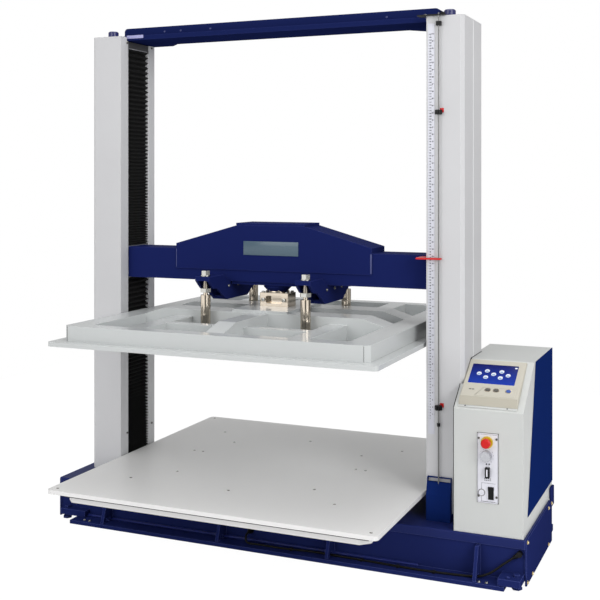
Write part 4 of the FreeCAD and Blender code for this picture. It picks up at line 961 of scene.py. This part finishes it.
# %% Key field, lip and foot plate
field_left, field_right, field_foot, field_head, field_slant = 827, 964, 4, 44, 24
field = sheet("key_field", [(field_left, field_foot, 0), (field_right, field_foot, 0),
                            (field_left + field_slant, field_head, 0), (field_right, field_head, 0)], 0.0008)
for x in button_centres.values():
    cutter = pill("cutter", x, button_up, 8.0, 2, -3, 6, 32)
    modify(field, "BOOLEAN", object=cutter, operation="DIFFERENCE", solver="EXACT")
    bpy.data.objects.remove(cutter)
on_face(field, face_matrix, bezel_mould)


def face_bar(name, low, high):
    """A bar on the face, between two corners in millimetres."""
    return cuboid(name, Vector(low) * MM, Vector(high) * MM)


# The crease is painted darker than the moulding: painted shade.
crease_steps = 46
crease = []
for step in range(crease_steps):
    share = step / crease_steps
    x, up = field_left + field_slant * share, field_foot + (field_head - field_foot) * share
    crease.append(face_bar("crease", (x, up, 0.6), (x + 1.5, up + 1.5, 1.05)))
crease.append(face_bar("crease", (field_left + field_slant, field_head - 0.6, 0.6),
                       (field_right, field_head + 0.6, 1.05)))
on_face(merged("key_field_crease", crease), face_matrix, bezel_shade)

display_left, display_right = 775.5, 977.0
# The lip is painted darker than the moulding: painted shade on a face turned down.
lip_foot, lip_head = 16, 44
lip = sheet("bezel_lip", [(display_left + 2, lip_foot, 3.2), (display_right - 2, lip_foot, 3.2),
                          (display_left + 2, lip_head, 17.6), (display_right - 2, lip_head, 17.6)], 0.0005)
on_face(lip, slope_matrix, bezel_shade)
foot_plate = face_bar("bezel_foot_plate", (display_left, 7.6, 0.4), (display_right, lip_foot, 3.4))
bevelled(foot_plate, 0.0006, 2)
on_face(foot_plate, slope_matrix, console_coat)

plate_screws = [pill("plate_screw", x, 12, 2.6, 0, 3.0, 4.2, 16) for x in (800, 944)]
for screw in plate_screws:
    bevelled(screw, 0.0004, 1)
on_face(merged("bezel_plate_screws", plate_screws), slope_matrix, mark_ink)

status_dashes = [pill("status_dash", x, button_up, 2.2, 2.2, -0.1, 0.3, 16) for x in (806, 816)]
on_face(merged("status_dashes", status_dashes), face_matrix, dull_zinc)
print("display pieces placed")

# %% [markdown]
# ## Bends, seams and lit edges
# Sheet steel is never cut square: each cover turns a corner on a small radius, which catches the
# light as a thin pale line. A bevel on the covers would give the same line, but a CAD mesh isn't
# changed here, so slim bars, bevelled round, stand a little proud of the corners that they soften,
# and are painted near white as a painted highlight. Bars at the hood's ends are painted a paler blue
# than the hood, as a painted highlight where the edges of their sheet catch the light. A thin black
# strip runs up the console's left edge and over its top, where it meets the column.

# %% Bends, hood edges and seals
rounding = 0.42


def bead(name, low, high, finish, body="machine_frame"):
    """A slim bar between two corners in millimetres, rounded by a share of its thinnest side."""
    piece = cuboid(name, at(*low), at(*high))
    thinnest = min(high[axis] - low[axis] for axis in range(3))
    bevelled(piece, thinnest * rounding * MM, 3)
    return finished(piece, body, finish)


# The seam bars are painted near white: a painted highlight along the seam's bend.
for side, name in both_sides:
    x_low, x_high = sorted((side * 774.7, side * 772))
    bead(f"{name}_seam_highlight", (x_low, 4.5, 176), (x_high, 9.5, 1928.5), highlight_coat)
# Pale bars at the hood's ends: a painted highlight where the edges of the sheet catch the light.
for side, name, depth in ((-1, "left", 2.5), (1, "right", 6.0)):
    x_low, x_high = sorted((side * 413.6, side * (413 - depth)))
    bead(f"hood_{name}_edge", (x_low, hood_front - 0.8, 1003), (x_high, hood_front + 3, 1076), worn_and_highlight_enamel,
         "crosshead")

# A thin black strip along the console's left edge and over its top, where it meets the column.
strip_turn = 112.0
strip_left = {"front": 760.2, "rear": 773.9}
for part, wide, low, high in (("front", 2.0, 0.0, strip_turn), ("rear", 4.0, strip_turn, slope_length)):
    left = strip_left[part]
    dark_strip = face_bar("console_seal_" + part, (left, low, -0.6), (left + wide, high, 2.6))
    bevelled(dark_strip, 0.0006, 2)
    on_face(dark_strip, slope_matrix, black_mould)
bead("console_seal_foot", (760.4, -222.6, 152), (762.2, -219, 571), black_mould)
bead("console_seal_top", (773.9, -27, 710), (775.9, 130, 713), black_mould)
print("console slope", round(slope_length, 1), "mm long")

# %% [markdown]
# ## Strips beside the bellows
# The folds end just short of the rear cover, against a pale strip, so their tips show as a row of
# teeth. The strip is painted near white, brighter than the shade in the slot would leave it: a
# painted highlight. A clamp strip holds the cloth at its top, and another lies along the crosshead's
# top. They are plain strips of steel, so the same beads make them.

# %% Backing and clamp strips
for side, name in both_sides:
    x_low, x_high = sorted((side * 639.5, side * 657))
    # Near white, brighter than the slot's shade would leave it: a painted highlight behind the fold tips.
    bead(f"{name}_bellows_backing", (x_low, 84.4, 176), (x_high, 86.4, 1886), highlight_coat)
    x_low, x_high = sorted((side * 641, side * 644))
    bead(f"{name}_upper_clamp_strip", (x_low, -66, 1886), (x_high, 78, 1890), pale_label)
    bead(f"{name}_crosshead_clamp_strip", (x_low, -66, 1079), (x_high, 68, 1081), pale_label,
         "crosshead")

# %% [markdown]
# ## Load cell and limit rod fittings
# A round flange bolts the load cell to its mount, four cap screws hold its block from above and two
# show on its front. At the top of the limit rod a dark fitting and a pale screw sit on the plate,
# and each stop carries a red flag. All are standard parts, so the screw patterns and beads serve
# again, and only the flange and the fitting are discs of their own.

# %% Flange, fittings and flags
cell_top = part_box("load_cell")[1][2] / MM
flange = disc("load_cell_flange", at(0, 0, cell_top), 0.046, 0.008, sides=48)
bevelled(flange, 0.0012, 2)
finished(flange, "crosshead", nickel)
flange_ring = [(38 * math.cos(math.radians(turn)), 38 * math.sin(math.radians(turn)), cell_top + 8)
               for turn in range(0, 360, 60)]
screws(socket_head, "load_cell_flange_screws", "crosshead", zinc, flange_ring, (0, 0, 1), 1.0)
screws(socket_head, "load_cell_block_screws", "crosshead", zinc,
       [(x, y, cell_top - 1) for x in (-50, 50) for y in (-27, 27)], (0, 0, 1), 1.3)
screws(socket_head, "load_cell_face_screws", "crosshead", zinc,
       [(x, -37.5, 886) for x in (-44, 44)], (0, -1, 0), 1.4)

rod_plate_top = 1934.5
fitting = disc("rod_top_fitting", at(697, -125, rod_plate_top - 0.5), 0.009, 0.009, sides=24)
bevelled(fitting, 0.003, 3)
finished(fitting, "machine_frame", black_mould)
screws(socket_head, "rod_plate_screws", "machine_frame", zinc, [(632, -122, rod_plate_top)],
       (0, 0, 1), 0.9)
for name in ("upper_stop", "lower_stop"):
    knob_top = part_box(name + "_knob")[1][2] / MM
    bead(name + "_flag", (688, -129.5, knob_top - 9), (702, -128.1, knob_top + 7), red_mould,
         name)
print("load cell's top at", round(cell_top, 1), "mm")

# %% [markdown]
# ## Studs, bolts and welds
# Each post carries a threaded stud up through its bracket. A thread could be a helix, but one this
# small reads as a stack of thin rings, so two discs of different radius repeat up its height. A
# fillet runs along the foot of the web, where the beam was rolled, painted a little lighter than the
# beam as a painted highlight along its bend. A dark strip on the frame under the table's edge is a
# painted shadow, where the plate shades the frame, and the corners of the platen's rim show a dark
# joint line. A small tab stands at the base's right rear corner.

# %% Studs and bracket bolts
post_across, post_along = 206.3, 208.4
thread_low, thread_pitch, thread_turns = 937.0, 2.4, 12
crest, groove = 0.0098, 0.0088
threads = []
for x in (-post_across, post_across):
    for y in (-post_along, post_along):
        for turn in range(thread_turns):
            z = thread_low + turn * thread_pitch
            for radius, low in ((crest, z), (groove, z + thread_pitch / 2)):
                threads.append(disc("thread", at(x, y, low), radius, thread_pitch / 2 * MM, sides=20))
finished(merged("stud_threads", threads), "crosshead", dull_zinc)
for side, name in both_sides:
    for face in (-1, 1):
        cheek = side * post_across + face * 30
        way = "in" if side * face < 0 else "out"
        screws(hex_head, f"{name}_bracket_bolts_{way}", "crosshead", zinc,
               [(cheek, y, 938) for y in (-75, 4, 75)], (face, 0, 0), 0.8)
print("thread rings", len(threads))

# %% Fillets, joint lines and rear tab
# The fillets are painted a little lighter than the beam: a painted highlight along the bend.
for side, name, web in ((-1, "front", -227), (1, "rear", 256)):
    y_low, y_high = sorted((web, web + side * 9))
    bead(f"{name}_web_fillet", (-756, y_low, 14), (640, y_high, 23), lit_enamel)

# A dark strip under the table plate's edge: a painted shadow where the plate shades the frame.
frame_side = 581
shadow_width = 0.8
table_shadow_strips = []
for near in (-frame_side - 0.6, frame_side - 0.2):
    table_shadow_strips.append(cuboid("gap", at(-frame_side, near, 205), at(frame_side, near + shadow_width, 223.6)))
for near in (-frame_side - 0.6, frame_side - 0.2):
    table_shadow_strips.append(cuboid("gap", at(near, -frame_side, 205), at(near + shadow_width, frame_side, 223.6)))
finished(merged("table_painted_shadow", table_shadow_strips), "machine_frame", frame_grey)

platen_side = (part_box("upper_platen_frame")[1][0] - load_axis) / MM
joint_inset = 18.0
for side, name in both_sides:
    for end, end_name in ((-1, "front"), (1, "rear")):
        joint = platen_side - joint_inset
        x_low, x_high = sorted((side * (joint - 0.4), side * (joint + 1.0)))
        y_low, y_high = sorted((end * (platen_side - 0.6), end * (platen_side + 0.4)))
        bead(f"platen_joint_{name}_{end_name}", (x_low, y_low, 771), (x_high, y_high, 822), frame_grey,
             "crosshead")
bead("rear_tab", (1000.2, 262, 120), (1010, 318, 193), base_enamel)
print("platen's half width", round(platen_side, 1), "mm")

# %% [markdown]
# ## Switch details
# The fuse holder has a dark ring, and the socket a pale insert. They are a few pixels each, so one
# bevelled disc and one bevelled bar are enough.

# %% Fuse ring and socket insert
fuse_ring = disc("fuse_ring", at(panel_left + 15, label_face, 295), 0.0118, 0.0022, (0, -1, 0), 32)
bevelled(fuse_ring, 0.0007, 2)
finished(fuse_ring, "machine_frame", dull_zinc)
insert = cuboid("socket_insert", at(panel_left + 33.5, -240.4, 353), at(panel_left + 38.5, -239.8, 377))
bevelled(insert, 0.0002, 1)
finished(insert, "machine_frame", pale_label)
print("socket insert", [round(side / MM, 1) for side in insert.dimensions], "mm")

# %% [markdown]
# ## Clearing up
# The three screw patterns have been copied wherever they are needed. Hidden, they would still have
# to ride on a body, so they are removed.

# %% Put the patterns away
for pattern in patterns:
    bpy.data.objects.remove(pattern)
print("screw patterns put away")

# %% [markdown]
# ## The floor and the studio
# The picture stands on white. Strong lamps could burn the floor out to white, but they would burn
# the pale paint out too. So the floor is a plain pale sheet that glows white to the camera and to
# reflections only, with a trace of the machine's shade, and the lamps stay at a plain level.

# %% Floor and lamps
floor = start(bpy.ops.mesh.primitive_plane_add, "studio_floor", size=6, location=(0, 0, -0.0005))
floor_finish = Finish("studio_floor", roughness=0.9, base_color=(0.80, 0.80, 0.81, 1.0))
camera_ray = floor_finish.add("ShaderNodeLightPath")
glossy_ray = Value(floor_finish, camera_ray.socket.node.outputs["Is Glossy Ray"])
shown_white = camera_ray.maths("MAXIMUM", glossy_ray) * 0.9
glow = floor_finish.add("ShaderNodeEmission", None, {"Color": (1.0, 1.0, 1.0, 1.0), "Strength": 1.08})
lit = Value(floor_finish, floor_finish.shader.outputs["BSDF"])
surface = floor_finish.add("ShaderNodeMixShader", None, {0: shown_white, 1: lit, 2: glow})
floor_finish.plug(floor_finish.tree.nodes["Material Output"].inputs["Surface"], surface)
floor.data.materials.append(floor_finish.material)


def lamp(name, place, aim, size, power):
    """A soft rectangular lamp that faces a point."""
    data = bpy.data.lights.new(name, "AREA")
    data.shape = "RECTANGLE"
    data.size, data.size_y = size
    data.energy = power
    light = bpy.data.objects.new(name, data)
    bpy.context.scene.collection.objects.link(light)
    light.location = place
    light.rotation_euler = (Vector(aim) - Vector(place)).to_track_quat("-Z", "Y").to_euler()


lamp("front_softbox", (-1.5, -5.0, 2.6), (0, 0, 0.9), (3.0, 2.5), 66)
lamp("right_softbox", (4.2, -2.8, 2.5), (0.3, 0, 0.8), (2.0, 3.0), 100)
lamp("top_softbox", (0.3, -0.3, 4.6), (0, 0, 0.8), (3.0, 3.0), 56)
print("lamps", len(bpy.data.lights))

# %% [markdown]
# ## What the metal mirrors
# Plating shows its surroundings, and in plain white it would look like plastic. Cards and flags
# could stand round the machine, but a world that only mirrored rays see is easier to tune. Below the
# horizon it has two bright banks in front, a dark gap between them where the photographer stands,
# and a dim wall behind; above is an even ceiling. The camera sees white, other rays a soft fill.

# %% World
world = bpy.data.worlds.new("studio")
bpy.context.scene.world = world
world.use_nodes = True
sky = world.node_tree


def wired(kind, sources, **settings):
    """A node of the sky, whose sources are other nodes' outputs or plain numbers."""
    node = sky.nodes.new(kind)
    for key, value in settings.items():
        setattr(node, key, value)
    for socket, source in sources.items():
        if isinstance(source, (int, float)):
            node.inputs[socket].default_value = source
        else:
            sky.links.new(source, node.inputs[socket])
    return node


def ramp(value, low, high, at_low, at_high):
    """One level up to low, another from high on, and an even change between."""
    return wired("ShaderNodeMapRange", {0: value, 1: low, 2: high, 3: at_low, 4: at_high}).outputs[0]


def combined(operation, first, second):
    return wired("ShaderNodeMath", {0: first, 1: second}, operation=operation).outputs[0]


ray = wired("ShaderNodeLightPath", {})
place = wired("ShaderNodeTexCoord", {})
aim = wired("ShaderNodeSeparateXYZ", {0: place.outputs["Generated"]})
photographer = 0.35
off_centre = combined("ABSOLUTE", combined("SUBTRACT", aim.outputs[0], photographer), 0.0)
banks = ramp(off_centre, 0.12, 0.40, 0.10, 1.5)
in_front = ramp(aim.outputs[1], -0.15, 0.10, 1.0, 0.3)
below = ramp(aim.outputs[2], -0.02, 0.04, 1.0, 0.0)
room_light = combined("MULTIPLY", banks, in_front)
ceiling_light = 0.5
mixed = combined("ADD", combined("MULTIPLY", room_light, below),
                 combined("MULTIPLY", combined("SUBTRACT", 1.0, below), ceiling_light))
room = wired("ShaderNodeBackground", {"Strength": mixed})
white = wired("ShaderNodeBackground", {"Strength": 1.0})
fill = wired("ShaderNodeBackground", {"Strength": 0.53})
for background in (room, white, fill):
    background.inputs["Color"].default_value = (1, 1, 1, 1)
seen = combined("MAXIMUM", ray.outputs["Is Camera Ray"], ray.outputs["Is Transmission Ray"])
plain = wired("ShaderNodeMixShader", {0: seen, 1: fill.outputs[0], 2: white.outputs[0]})
shown = wired("ShaderNodeMixShader",
              {0: ray.outputs["Is Glossy Ray"], 1: plain.outputs[0], 2: room.outputs[0]})
sky.links.new(shown.outputs[0], sky.nodes["World Output"].inputs["Surface"])
print("sky nodes", len(sky.nodes))
